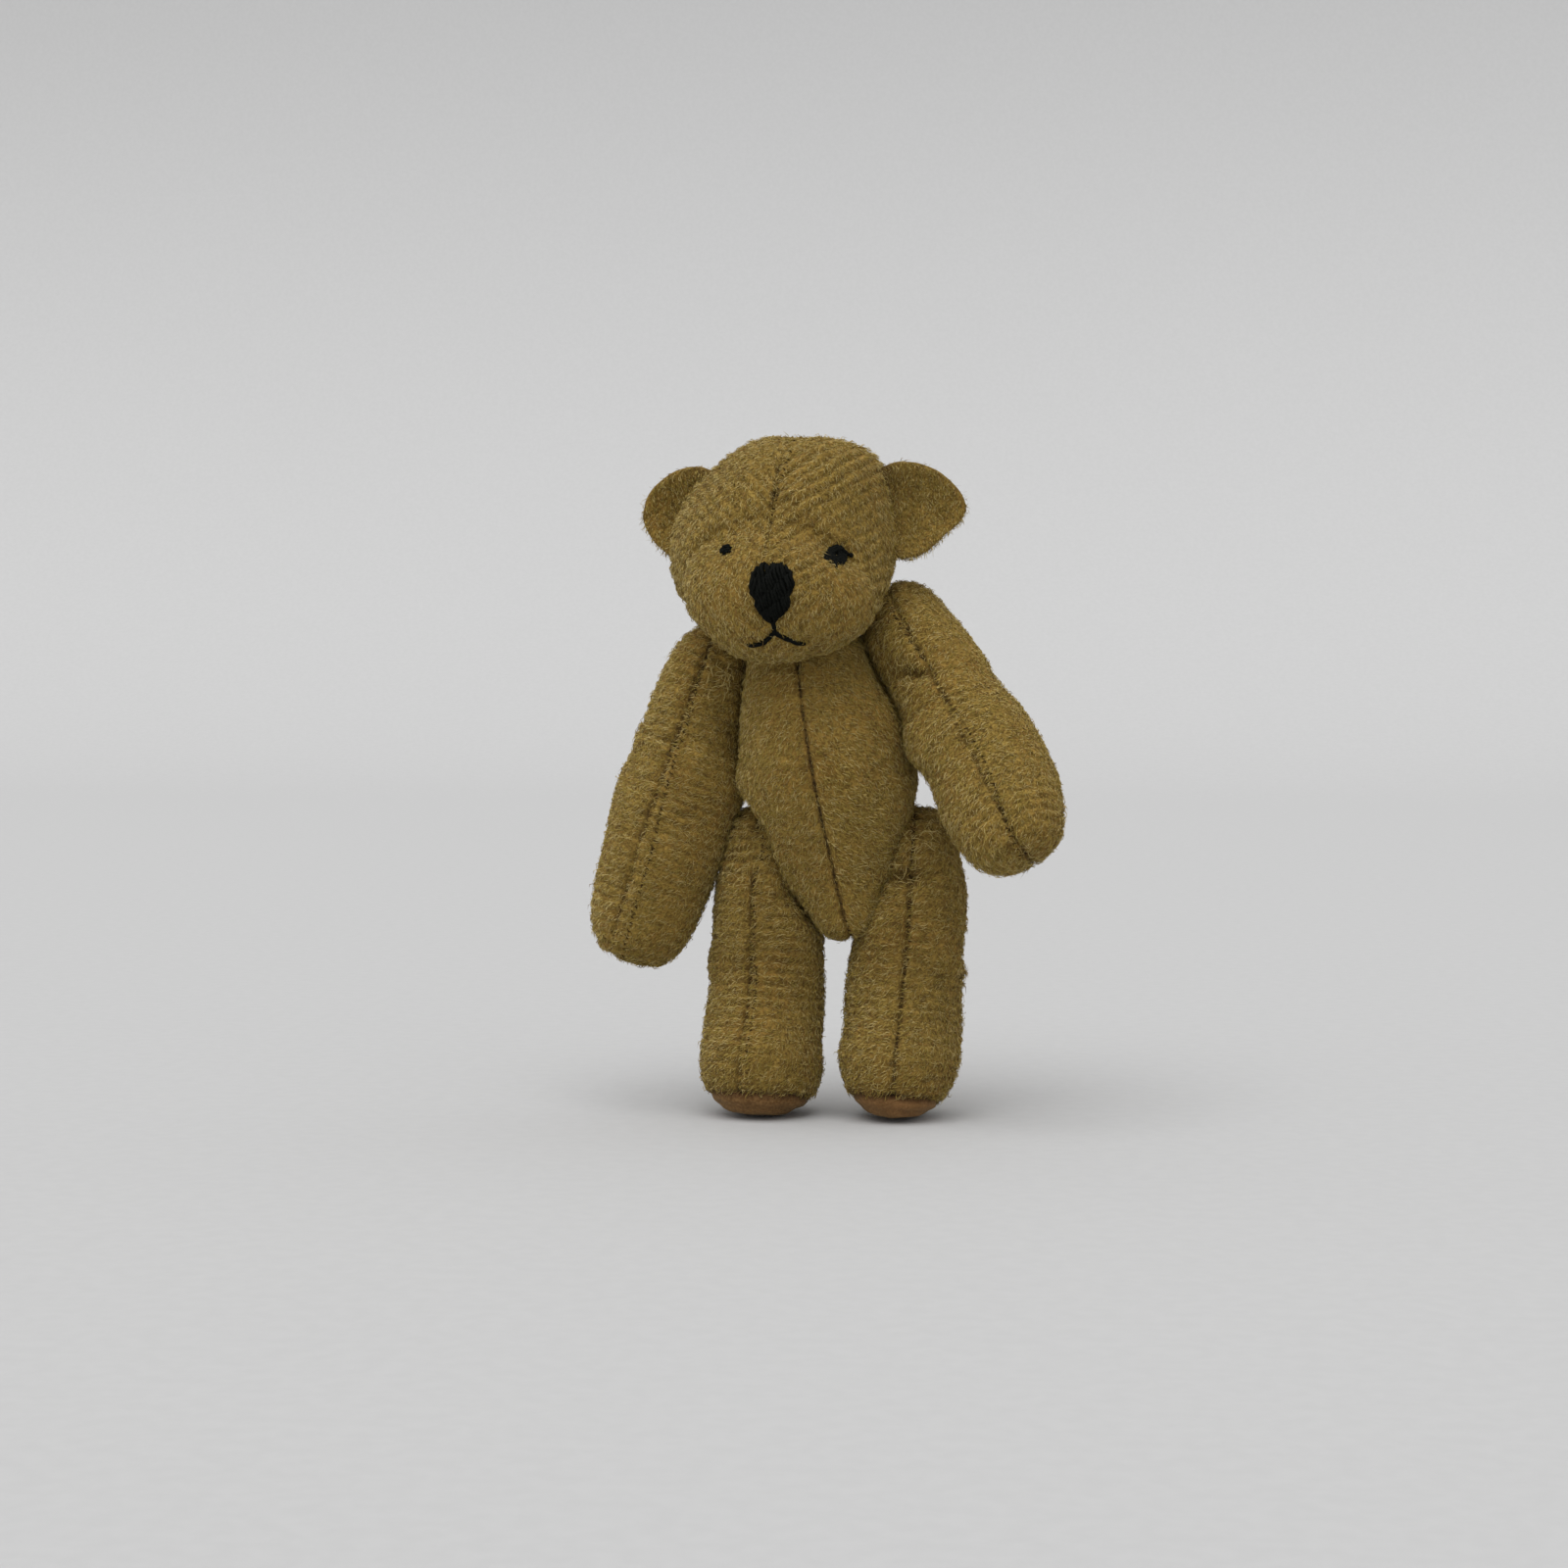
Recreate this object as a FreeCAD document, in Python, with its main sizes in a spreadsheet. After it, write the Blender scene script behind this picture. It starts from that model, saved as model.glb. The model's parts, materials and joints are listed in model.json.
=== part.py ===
"""A small jointed teddy bear: felt skins, stuffing and five cotter-pin disc joints.

Frame: millimetres, +Z up, the bear stands on z = 0 and looks along -Y, its left is +X.
Left and right are the bear's own. Every soft body is a revolved profile, cut flat at its
joints and split into felt panels, seam stitching and stuffing.
"""
import FreeCAD, Part
import os
import Sketcher

Vector = FreeCAD.Vector
Placement = FreeCAD.Placement
Rotation = FreeCAD.Rotation

# ---------------------------------------------------------------- driving dimensions

DIMENSIONS = {
    # felt, seams and fits
    "felt": 0.8,
    "seam_width": 0.3,
    "seat_gap": 0.3,
    "pin_play": 0.05,
    "soft_play": 0.3,
    # the hardware of a disc joint
    "disc_radius": 2.4,
    "disc_thick": 1.0,
    "washer_radius": 1.7,
    "washer_thick": 0.4,
    "pin_radius": 0.55,
    "wire_radius": 0.3,
    "eye_ring": 0.7,
    "curl_ring": 0.45,
    # where the torso's middle is, and how far it leans to its right
    "centre_x": 0.45, "centre_y": 3.91,
    "torso_x": -0.3,
    "torso_z": 39.8,
    "torso_lean": 9.5,
    # middle of the skull, and the muzzle from there
    "head_x": -4.7,
    "head_y": -2.2,
    "head_z": 67.2,
    "head_roll": 4.0,
    "skull_wide": 13.2,
    "skull_deep": 11.6,
    "skull_tall": 12.4,
    "muzzle_forward": 7.6,
    "muzzle_down": 6.4,
    "muzzle_wide": 9.6,
    "muzzle_deep": 8.0,
    "muzzle_tall": 8.2,
    # ears, from the middle of the skull
    "left_ear_out": 14.0,
    "right_ear_out": 12.8,
    "ear_up": 4.2,
    "ear_back": 1.0,
    "ear_turn": 20.0,
    "ear_wide": 5.4,
    "ear_deep": 2.2,
    "ear_tall": 5.5,
    # stitched face
    "nose_wide": 5.0,
    "nose_tall": 6.4,
    "nose_point": 1.0,
    "nose_z": 58.1,
    "stitch_proud": 0.4,
    "mouth_thread": 0.6,
    "mouth_z": 56.2,
    "mouth_arm": 3.6,
    "mouth_slope": 22.0,
    "face_x": -4.3,
    "eye_radius": 1.2,
    "eye_spread": 6.3,
    "eye_x": -3.8,
    "eye_z": 66.0,
    "eye_y": -12.9,
    # neck joint, along the torso's axis
    "neck_up": 16.2,
    "neck_tilt": 5.0,
    "neck_recess": 8.6,
    # shoulder joints, from the torso's middle
    "shoulder_up": 12.4,
    "shoulder_out": 7.5,
    "shoulder_back": 2.0,
    "shoulder_taper": 14.5,
    # hip joints
    "hip_z": 31.2,
    "hip_out": 6.4,
    "hip_back": 2.2,
    "left_hip_tilt": 8.5,
    "right_hip_tilt": 8.5,
    "hip_toe": 3.0,
    "hip_recess": 9.0,
    # arms: their line stands off the joint, splays out and swings forward
    "right_arm_stand_off": 5.2,
    "right_arm_splay": 13.0,
    "right_arm_swing": 4.0,
    "left_arm_stand_off": 5.8,
    "left_arm_splay": 5.5,
    "left_arm_swing": 28.0,
    # legs
    "leg_stand_off": 2.7,
    "leg_recess": 12.5,
    "right_leg_splay": 10.0,
    "left_leg_splay": 4.5,
    "foot_forward": 2.9,
    "foot_line": 24.8,
    "foot_wide": 7.1,
    "foot_deep": 8.8,
    "foot_tall": 7.4,
    "foot_height": 5.4,
}

# Profiles: height along the axis and radius of each control point, from top to bottom.
# Within the first and the last radius the ends are flat.
PROFILES = {
    "torso": [(17.2, 0.8), (17.2, 6.0), (12.8, 8.5), (5.0, 10.3), (-2.0, 10.6),
              (-7.5, 8.4), (-14.0, 5.4), (-19.0, 4.0), (-19.0, 0.8)],
    "right_arm": [(6.4, 0.8), (6.4, 4.0), (-1.0, 5.1), (-9.0, 6.9), (-20.0, 7.2),
                  (-29.0, 6.3), (-34.4, 5.0), (-34.4, 0.8)],
    "left_arm": [(6.4, 0.8), (6.4, 4.0), (1.0, 5.8), (-9.0, 6.3), (-20.0, 6.7),
                 (-29.0, 6.1), (-34.4, 5.0), (-34.4, 0.8)],
    "leg": [(5.8, 0.8), (5.8, 4.0), (1.0, 5.4), (-6.0, 5.9), (-14.0, 6.3),
            (-25.0, 6.6), (-28.0, 4.0), (-28.0, 0.8)],
}

FAR = 60.0

doc = FreeCAD.newDocument("jointed_teddy_bear")
sheet = doc.addObject("Spreadsheet::Sheet", "dims")


def fill_sheet():
    """Put every driving dimension and profile point in a cell with its own alias."""
    cells = dict(DIMENSIONS)
    for shape, points in PROFILES.items():
        for index, (height, radius) in enumerate(points):
            cells[f"{shape}_height_{index}"] = height
            cells[f"{shape}_radius_{index}"] = radius
    for row, (alias, number) in enumerate(cells.items(), start=1):
        sheet.set(f"A{row}", alias)
        sheet.set(f"B{row}", str(number))
        sheet.setAlias(f"B{row}", alias)
    doc.recompute()


fill_sheet()


def dim(alias):
    """A driving dimension read back from the sheet."""
    return float(sheet.get(alias))


# ---------------------------------------------------------------- small builders


def bind(thing, **sizes):
    """Bind properties of an object to expressions on the sheet."""
    for prop, expression in sizes.items():
        thing.setExpression(prop, expression)
    return thing


def primitive(kind, name, place, **sizes):
    """A Part primitive with bound sizes, put at a placement."""
    thing = doc.addObject(f"Part::{kind}", name)
    bind(thing, **sizes)
    thing.Placement = place
    return thing


def cut(name, base, tool):
    thing = doc.addObject("Part::Cut", name)
    thing.Base = base
    thing.Tool = tool
    return thing


def common(name, base, tool):
    thing = doc.addObject("Part::Common", name)
    thing.Base = base
    thing.Tool = tool
    return thing


def fuse(name, *shapes):
    thing = doc.addObject("Part::MultiFuse", name)
    thing.Shapes = list(shapes)
    return thing


def cut_all(name, base, tools):
    """Cut several tools from a base, one after the other."""
    for index, tool in enumerate(tools[:-1]):
        base = cut(f"{name}_cut_{index}", base, tool)
    return cut(name, base, tools[-1])


def slab(name, place, low, high):
    """A wide box across local X, from low to high, at a placement."""
    thing = doc.addObject("Part::Box", name)
    thing.Length = high - low
    thing.Width = 2 * FAR
    thing.Height = 2 * FAR
    thing.Placement = place.multiply(Placement(Vector(low, -FAR, -FAR), Rotation()))
    return thing


def rod(name, place, radius, low, high):
    """A cylinder along local X between two distances; all three are expressions."""
    start = at(measure(low), 0, 0, Rotation(Y_AXIS, 90))
    return primitive("Cylinder", name, place.multiply(start), Radius=radius,
                     Height=f"({high}) - ({low})")


def origin_plane(body, role):
    """One of a body's own origin planes."""
    return next(part for part in body.Origin.OriginFeatures if part.Role == role)


def profile_sketch(body, shape, shrink):
    """Half an outline: a spline through control points, closed by two flats and the axis."""
    sketch = body.newObject("Sketcher::SketchObject", f"{body.Name}_profile")
    sketch.AttachmentSupport = (origin_plane(body, "XZ_Plane"), [""])
    sketch.MapMode = "FlatFace"
    count = len(PROFILES[shape])
    poles = []
    for index in range(count):
        radius = dim(f"{shape}_radius_{index}")
        height = dim(f"{shape}_height_{index}")
        poles.append(Vector(radius, height, 0))
    for pole in poles:
        sketch.addGeometry(Part.Circle(pole, Vector(0, 0, 1), 1), True)
    spline = Part.BSplineCurve()
    spline.buildFromPoles(poles, False, 3)
    outline = [sketch.addGeometry(spline, False)]
    for index in range(count):
        align = "InternalAlignment:Sketcher::BSplineControlPoint"
        sketch.addConstraint(Sketcher.Constraint("Weight", index, 1.0))
        sketch.addConstraint(Sketcher.Constraint(align, index, 3, outline[0], index))
    corners = [poles[-1], Vector(0, poles[-1].y, 0), Vector(0, poles[0].y, 0), poles[0]]
    for start, end in zip(corners, corners[1:]):
        outline.append(sketch.addGeometry(Part.LineSegment(start, end), False))
    for line, following in zip(outline, outline[1:] + outline[:1]):
        sketch.addConstraint(Sketcher.Constraint("Coincident", line, 2, following, 1))
    for line in outline[1:3]:
        sketch.addConstraint(Sketcher.Constraint("PointOnObject", line, 2, -2))
    for flat in (outline[1], outline[3]):
        sketch.addConstraint(Sketcher.Constraint("Horizontal", flat))
    for index, pole in enumerate(poles):
        place_pole(sketch, shape, index, count, pole, shrink)
    return sketch


def place_pole(sketch, shape, index, count, pole, shrink):
    """Fix one control point at the sheet's height and radius, moved in by shrink."""
    at_end = {0: "- ", 1: "- ", count - 2: "+ ", count - 1: "+ "}
    inward = "" if index in (0, count - 1) else f" - {shrink}"
    height_shift = f" {at_end[index]}{shrink}" if index in at_end else ""
    across = sketch.addConstraint(Sketcher.Constraint("DistanceX", -1, 1, index, 3, pole.x))
    sketch.setExpression(f"Constraints[{across}]", f"dims.{shape}_radius_{index}{inward}")
    up = sketch.addConstraint(Sketcher.Constraint("DistanceY", -1, 1, index, 3, pole.y))
    sketch.setExpression(f"Constraints[{up}]",
                         f"dims.{shape}_height_{index}{height_shift}")


def revolved(name, shape, place, shrink="0"):
    """A body of revolution about local Z from one of the profiles."""
    body = doc.addObject("PartDesign::Body", name)
    sketch = profile_sketch(body, shape, shrink)
    doc.recompute()
    turn = body.newObject("PartDesign::Revolution", f"{name}_turn")
    turn.Profile = sketch
    turn.ReferenceAxis = (sketch, ["V_Axis"])
    turn.Angle = 360
    body.Placement = place
    return body


# ---------------------------------------------------------------- places

UPRIGHT = Rotation()
LEFT = 1
RIGHT = -1
SIDES = {"left": LEFT, "right": RIGHT}
X_AXIS = Vector(1, 0, 0)
Y_AXIS = Vector(0, 1, 0)
Z_AXIS = Vector(0, 0, 1)


def at(x, y, z, turn=UPRIGHT):
    return Placement(Vector(x, y, z), turn)


def torso_place():
    """The torso's own frame: Z runs up its leaning axis."""
    return at(dim("torso_x"), 0, dim("torso_z"), Rotation(Y_AXIS, -dim("torso_lean")))


def joint_frame(middle, side, tilt, toe):
    """A joint's frame: local X runs outwards along the pin, local Z up in the seat.

    A positive tilt lifts the outer end of the pin, a positive toe turns it to the back.
    """
    heading = toe if side == LEFT else 180 - toe
    turn = Rotation(Z_AXIS, heading).multiply(Rotation(Y_AXIS, -tilt))
    return Placement(middle, turn)


def neck_frame():
    middle = torso_place().multVec(Vector(0, 0, dim("neck_up")))
    return joint_frame(middle, LEFT, 90 + dim("neck_tilt"), 0)


def shoulder_frame(side):
    outwards = side * dim("shoulder_out")
    in_torso = Vector(outwards, dim("shoulder_back"), dim("shoulder_up"))
    tilt = dim("shoulder_taper") + side * dim("torso_lean")
    return joint_frame(torso_place().multVec(in_torso), side, tilt, 0)


def hip_frame(name, side):
    below = dim("torso_z") - dim("hip_z")
    axis = torso_place().multVec(Vector(0, 0, -below))
    middle = Vector(axis.x + side * dim("hip_out"), dim("hip_back"), dim("hip_z"))
    return joint_frame(middle, side, -dim(f"{name}_hip_tilt"), dim("hip_toe"))


def limb_line(frame, side, stand_off, splay, swing):
    """The line of a limb: swung forward about its pin, standing off the seat."""
    swung = Placement(Vector(), Rotation(X_AXIS, -side * swing))
    line = at(stand_off, 0, 0, Rotation(Y_AXIS, -splay))
    return frame.multiply(swung).multiply(line)


def arm_line(name, side):
    stand_off = dim(f"{name}_arm_stand_off")
    splay = dim(f"{name}_arm_splay")
    swing = dim(f"{name}_arm_swing")
    return limb_line(shoulder_frame(side), side, stand_off, splay, swing)


def leg_line(name, side):
    splay = dim(f"{name}_leg_splay")
    return limb_line(hip_frame(name, side), side, dim("leg_stand_off"), splay, 0)


# ---------------------------------------------------------------- disc joints

# Distances along the pin from the middle of the joint's gap.
SEAT = "dims.seat_gap / 2"
UNDER_FELT = f"{SEAT} + dims.felt"
PAST_DISC = f"{UNDER_FELT} + dims.disc_thick"
PAST_WASHER = f"{PAST_DISC} + dims.washer_thick"
BORE = "dims.pin_radius + dims.pin_play"
EYE_SPAN = "2 * (dims.eye_ring + dims.wire_radius)"
CURL_SPAN = "2 * (dims.curl_ring + dims.wire_radius)"
CURL_REACH = "2 * dims.curl_ring + 1.5 * dims.wire_radius"


def measure(expression):
    """The number that an expression on the sheet comes to."""
    return float(sheet.evalExpression(expression))


def across_joint(frame):
    """The same joint seen from its torso side: local X runs inwards."""
    return frame.multiply(at(0, 0, 0, Rotation(Z_AXIS, 180)))


def plate(name, frame, radius, start, thick):
    """A round plate with the pin's bore: a padded sketch of two circles."""
    body = doc.addObject("PartDesign::Body", name)
    sketch = body.newObject("Sketcher::SketchObject", f"{name}_outline")
    sketch.AttachmentSupport = (origin_plane(body, "XY_Plane"), [""])
    sketch.MapMode = "FlatFace"
    for size in (radius, BORE):
        circle = sketch.addGeometry(Part.Circle(Vector(), Z_AXIS, measure(size)), False)
        sketch.addConstraint(Sketcher.Constraint("Coincident", circle, 3, -1, 1))
        fixed = sketch.addConstraint(Sketcher.Constraint("Radius", circle, measure(size)))
        sketch.setExpression(f"Constraints[{fixed}]", size)
    doc.recompute()
    pad = body.newObject("PartDesign::Pad", f"{name}_pad")
    pad.Profile = sketch
    bind(pad, Length=thick)
    along_pin = at(measure(start), 0, 0, Rotation(Y_AXIS, 90))
    body.Placement = frame.multiply(along_pin)
    return body


def disc_and_washer(name, frame):
    """The plates on one side of a joint."""
    disc = plate(f"{name}_disc", frame, "dims.disc_radius", UNDER_FELT, "dims.disc_thick")
    washer = plate(f"{name}_washer", frame, "dims.washer_radius", PAST_DISC,
                   "dims.washer_thick")
    return disc, washer


def cotter_pin(name, frame):
    """A cotter pin: an eye on the limb's side, a shank, two legs curled on the torso's."""
    home = Placement()
    reach = f"{PAST_WASHER} + dims.pin_play + dims.wire_radius"
    shank = rod(f"{name}_shank", home, "dims.pin_radius", f"-({reach})", reach)
    eye_at = at(measure(f"{PAST_WASHER} + {EYE_SPAN} / 2"), 0, 0)
    loops = [primitive("Torus", f"{name}_eye", eye_at, Radius1="dims.eye_ring",
                       Radius2="dims.wire_radius")]
    curl_at = -measure(f"{PAST_WASHER} + dims.pin_play + {CURL_SPAN} / 2")
    for number, sideways in enumerate((1, -1)):
        shift = sideways * measure("dims.curl_ring + dims.wire_radius / 2")
        loops.append(primitive("Torus", f"{name}_curl_{number}", at(curl_at, shift, 0),
                               Radius1="dims.curl_ring", Radius2="dims.wire_radius"))
    pin = fuse(name, shank, *loops)
    pin.Placement = frame
    return pin


def hardware_hollows(name, frame, end_radius, end_span):
    """What the plates and the pin's end take out of the felt and the stuffing on one side."""
    start = f"{UNDER_FELT} - dims.pin_play"
    end = f"{PAST_WASHER} + {end_span} + dims.soft_play"
    return [
        rod(f"{name}_disc_room", frame, "dims.disc_radius", start, PAST_DISC),
        rod(f"{name}_washer_room", frame, "dims.washer_radius", start, PAST_WASHER),
        rod(f"{name}_end_room", frame, f"{end_radius} + dims.soft_play", start, end),
    ]


# ---------------------------------------------------------------- felt bodies


def felt_skin(name, outer, inner, holes, line, across):
    """Split a felt skin into two panels and the stitching between them.

    The seam lies in the plane through line whose normal is local X; across names the
    panels on its low and its high side.
    """
    skin = cut_all(f"{name}_skin", outer, [inner, *holes])
    half = dim("seam_width") / 2
    spans = {
        f"{across[0]}_panel": (-FAR, -half),
        "seam_stitches": (-half, half),
        f"{across[1]}_panel": (half, FAR),
    }
    for piece, (low, high) in spans.items():
        band = slab(f"{name}_{piece}_slab", line, low, high)
        keep(common(f"{name}_{piece}", skin, band))


kept = []


def keep(piece):
    """Mark a sub-part for export; its Label names its file."""
    piece.Label = piece.Name
    kept.append(piece)
    return piece


def seated(name, body, frame, radius, depth):
    """A limb cut flat by its seat: nothing within radius of the pin below depth."""
    return cut(name, body, rod(f"{name}_seat", frame, radius, f"-{FAR}", depth))


def joint_parts(name, frame):
    """The hardware of one joint; the torso's washers are gathered into one sub-part."""
    limb_disc, limb_washer = disc_and_washer(name, frame)
    body_disc, body_washer = disc_and_washer(f"{name}_body", across_joint(frame))
    keep(limb_disc)
    keep(limb_washer)
    keep(body_disc)
    keep(cotter_pin(f"{name}_cotter_pin", frame))
    return body_washer


def limb_hollows(name, frame):
    return hardware_hollows(name, frame, f"{EYE_SPAN} / 2", EYE_SPAN)


def body_hollows(name, frame):
    return hardware_hollows(f"{name}_body", across_joint(frame), CURL_REACH, CURL_SPAN)


def pin_hole(name, frame):
    return rod(f"{name}_pin_hole", frame, BORE, "-3", "3")


def arm(name, side):
    """An arm: two felt panels, their stitching and the stuffing."""
    frame = shoulder_frame(side)
    line = arm_line(name, side)
    limb = f"{name}_arm"
    outer = revolved(f"{limb}_outer", limb, line)
    inner = revolved(f"{limb}_inner", limb, line, "dims.felt")
    outer = seated(f"{limb}_shape", outer, frame, str(FAR), SEAT)
    inner = seated(f"{limb}_core", inner, frame, str(FAR), UNDER_FELT)
    joint = f"{name}_shoulder"
    hollows = limb_hollows(joint, frame)
    felt_skin(limb, outer, inner, [pin_hole(joint, frame), *hollows], line,
              ("inner", "outer"))
    keep(cut_all(f"{limb}_stuffing", inner, hollows))
    return joint_parts(joint, frame)


def foot(name, line, shrink):
    """The foot's round, an ellipsoid in front of the leg's line near the ground."""
    middle = line.multVec(Vector(0, 0, -dim("foot_line")))
    place = at(middle.x, middle.y - dim("foot_forward"), dim("foot_height"))
    return primitive("Ellipsoid", name, place, Radius1=f"dims.foot_tall - {shrink}",
                     Radius2=f"dims.foot_wide - {shrink}",
                     Radius3=f"dims.foot_deep - {shrink}")


def above_ground(name, body, height):
    """A body cut flat on the ground or on top of the sole."""
    ground = Placement(Vector(), Rotation(Y_AXIS, 90))
    return cut(name, body, slab(f"{name}_ground", ground, -height, FAR))


def leg(name, side):
    """A leg: two felt panels, their stitching, a sole and the stuffing."""
    frame = hip_frame(name, side)
    line = leg_line(name, side)
    limb = f"{name}_leg"
    shank = revolved(f"{limb}_outer", "leg", line)
    core = revolved(f"{limb}_inner", "leg", line, "dims.felt")
    whole = fuse(f"{limb}_solid", shank, foot(f"{limb}_foot", line, "0"))
    whole_core = fuse(f"{limb}_solid_core", core, foot(f"{limb}_foot_core", line, "dims.felt"))
    outer = seated(f"{limb}_seated", whole, frame, "dims.leg_recess", SEAT)
    inner = seated(f"{limb}_core_seated", whole_core, frame,
                   "dims.leg_recess + dims.felt", UNDER_FELT)
    standing = above_ground(f"{limb}_standing", outer, 0)
    upper = above_ground(f"{limb}_upper", outer, dim("felt"))
    inner = above_ground(f"{limb}_core", inner, dim("felt"))
    joint = f"{name}_hip"
    felt_skin(limb, upper, inner, [pin_hole(joint, frame)], line, ("inner", "outer"))
    keep(cut(f"{limb}_sole", standing, upper))
    keep(cut_all(f"{limb}_stuffing", inner, limb_hollows(joint, frame)))
    return joint_parts(joint, frame)


def torso():
    """The torso: flat at five seats, two felt panels, their stitching and the stuffing."""
    line = torso_place()
    outer = revolved("torso_outer", "torso", line)
    inner = revolved("torso_inner", "torso", line, "dims.felt")
    seats = {"neck": (neck_frame(), str(FAR))}
    for name, side in SIDES.items():
        seats[f"{name}_shoulder"] = (shoulder_frame(side), str(FAR))
        seats[f"{name}_hip"] = (hip_frame(name, side), "dims.hip_recess")
    outer_cuts = []
    inner_cuts = []
    for name, (frame, radius) in seats.items():
        outer_cuts.append(rod(f"torso_{name}_seat", frame, radius, f"-({SEAT})", str(FAR)))
        inner_cuts.append(rod(f"torso_{name}_core_seat", frame, f"{radius} + dims.felt",
                              f"-({UNDER_FELT})", str(FAR)))
    shape = cut_all("torso_shape", outer, outer_cuts)
    core = cut_all("torso_core", inner, inner_cuts)
    holes = [pin_hole(f"torso_{name}", frame) for name, (frame, _) in seats.items()]
    hollows = []
    for name, (frame, _) in seats.items():
        hollows += body_hollows(name, frame)
    felt_skin("torso", shape, core, holes + hollows, line, ("right", "left"))
    keep(cut_all("torso_stuffing", core, hollows))


# ---------------------------------------------------------------- head


def head_place():
    turn = Rotation(Y_AXIS, dim("head_roll"))
    return at(dim("head_x"), dim("head_y"), dim("head_z"), turn)


def head_solid(name, grow):
    """Skull and muzzle as one solid, every radius grown by the same length."""
    skull = primitive("Ellipsoid", f"{name}_skull", head_place(),
                      Radius1=f"dims.skull_tall + {grow}",
                      Radius2=f"dims.skull_wide + {grow}",
                      Radius3=f"dims.skull_deep + {grow}")
    muzzle_at = at(0, -dim("muzzle_forward"), -dim("muzzle_down"))
    muzzle = primitive("Ellipsoid", f"{name}_muzzle", head_place().multiply(muzzle_at),
                       Radius1=f"dims.muzzle_tall + {grow}",
                       Radius2=f"dims.muzzle_wide + {grow}",
                       Radius3=f"dims.muzzle_deep + {grow}")
    return fuse(name, skull, muzzle)


def ear(name, side, head):
    """An ear: a front and a back piece of felt, sewn on the side of the head."""
    out = side * dim(f"{name}_ear_out")
    turn = Rotation(Z_AXIS, side * dim("ear_turn"))
    place = at(dim("head_x") + out, dim("head_y") + dim("ear_back"),
               dim("head_z") + dim("ear_up"), turn)
    pillow = primitive("Ellipsoid", f"{name}_ear_pillow", place, Radius1="dims.ear_tall",
                       Radius2="dims.ear_wide", Radius3="dims.ear_deep")
    sewn = cut(f"{name}_ear_sewn", pillow, head)
    facing = place.multiply(at(0, 0, 0, Rotation(Z_AXIS, 90)))
    for layer, (low, high) in {"front": (-FAR, 0), "back": (0, FAR)}.items():
        piece = f"{name}_ear_{layer}"
        keep(common(piece, sewn, slab(f"{piece}_slab", facing, low, high)))


def nose_outline():
    """A shield on the front plane, wide on top and pointed below, padded through."""
    body = doc.addObject("PartDesign::Body", "nose_prism")
    sketch = body.newObject("Sketcher::SketchObject", "nose_outline")
    sketch.AttachmentSupport = (origin_plane(body, "XZ_Plane"), [""])
    sketch.MapMode = "FlatFace"
    corners = [
        ("0", "0"),
        ("dims.nose_wide / 2", "dims.nose_tall / 2"),
        ("dims.nose_wide / 2 - dims.nose_point", "dims.nose_tall"),
        ("dims.nose_point - dims.nose_wide / 2", "dims.nose_tall"),
        ("-dims.nose_wide / 2", "dims.nose_tall / 2"),
    ]
    points = [Vector(measure(x), measure(y), 0) for x, y in corners]
    for start, end in zip(points, points[1:] + points[:1]):
        sketch.addGeometry(Part.LineSegment(start, end), False)
    for index, (x, y) in enumerate(corners):
        before = (index - 1) % len(corners)
        sketch.addConstraint(Sketcher.Constraint("Coincident", before, 2, index, 1))
        for kind, size in (("DistanceX", x), ("DistanceY", y)):
            fixed = sketch.addConstraint(
                Sketcher.Constraint(kind, -1, 1, index, 1, measure(size)))
            sketch.setExpression(f"Constraints[{fixed}]", size)
    doc.recompute()
    pad = body.newObject("PartDesign::Pad", "nose_pad")
    pad.Profile = sketch
    pad.Length = FAR
    body.Placement = at(dim("face_x"), 0, dim("nose_z"))
    return body


def bar(name, place, length, width):
    """A wide prism along Y that prints one thread of the mouth on the muzzle."""
    thing = primitive("Box", name, place.multiply(at(-measure(width) / 2, -FAR, 0)),
                      Length=width, Height=length)
    thing.Width = FAR + dim("head_y") - dim("muzzle_forward")
    return thing


def face(head):
    """Nose and mouth stitched over the muzzle, and two knotted eyes."""
    proud = cut("face_threads", head_solid("face_solid", "dims.stitch_proud"), head)
    keep(common("nose_stitches", proud, nose_outline()))
    corner = at(dim("face_x"), 0, dim("mouth_z"))
    drop = bar("mouth_drop", corner, "dims.nose_z - dims.mouth_z", "dims.mouth_thread")
    arms = []
    for name, side in SIDES.items():
        slope = Rotation(Y_AXIS, side * (90 + dim("mouth_slope")))
        arms.append(bar(f"mouth_{name}", corner.multiply(at(0, 0, 0, slope)),
                        "dims.mouth_arm", "dims.mouth_thread"))
    keep(common("mouth_stitches", proud, fuse("mouth_bars", drop, *arms)))
    for name, side in SIDES.items():
        place = at(dim("eye_x") + side * dim("eye_spread"), dim("eye_y"), dim("eye_z"),
                   Rotation(X_AXIS, 90))
        knot = primitive("Sphere", f"{name}_eye_ball", place, Radius="dims.eye_radius")
        keep(cut(f"{name}_eye", knot, head))


def head():
    """The head: two felt panels, their stitching, stuffing, ears and face."""
    frame = neck_frame()
    whole = head_solid("head_solid", "0")
    outer = seated("head_shape", whole, frame, "dims.neck_recess", SEAT)
    inner = seated("head_core", head_solid("head_solid_core", "-dims.felt"), frame,
                   "dims.neck_recess + dims.felt", UNDER_FELT)
    felt_skin("head", outer, inner, [pin_hole("neck", frame)], head_place(),
              ("right", "left"))
    keep(cut_all("head_stuffing", inner, limb_hollows("neck", frame)))
    for name, side in SIDES.items():
        ear(name, side, outer)
    face(whole)
    return joint_parts("neck", frame)


# ---------------------------------------------------------------- the bear


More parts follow.
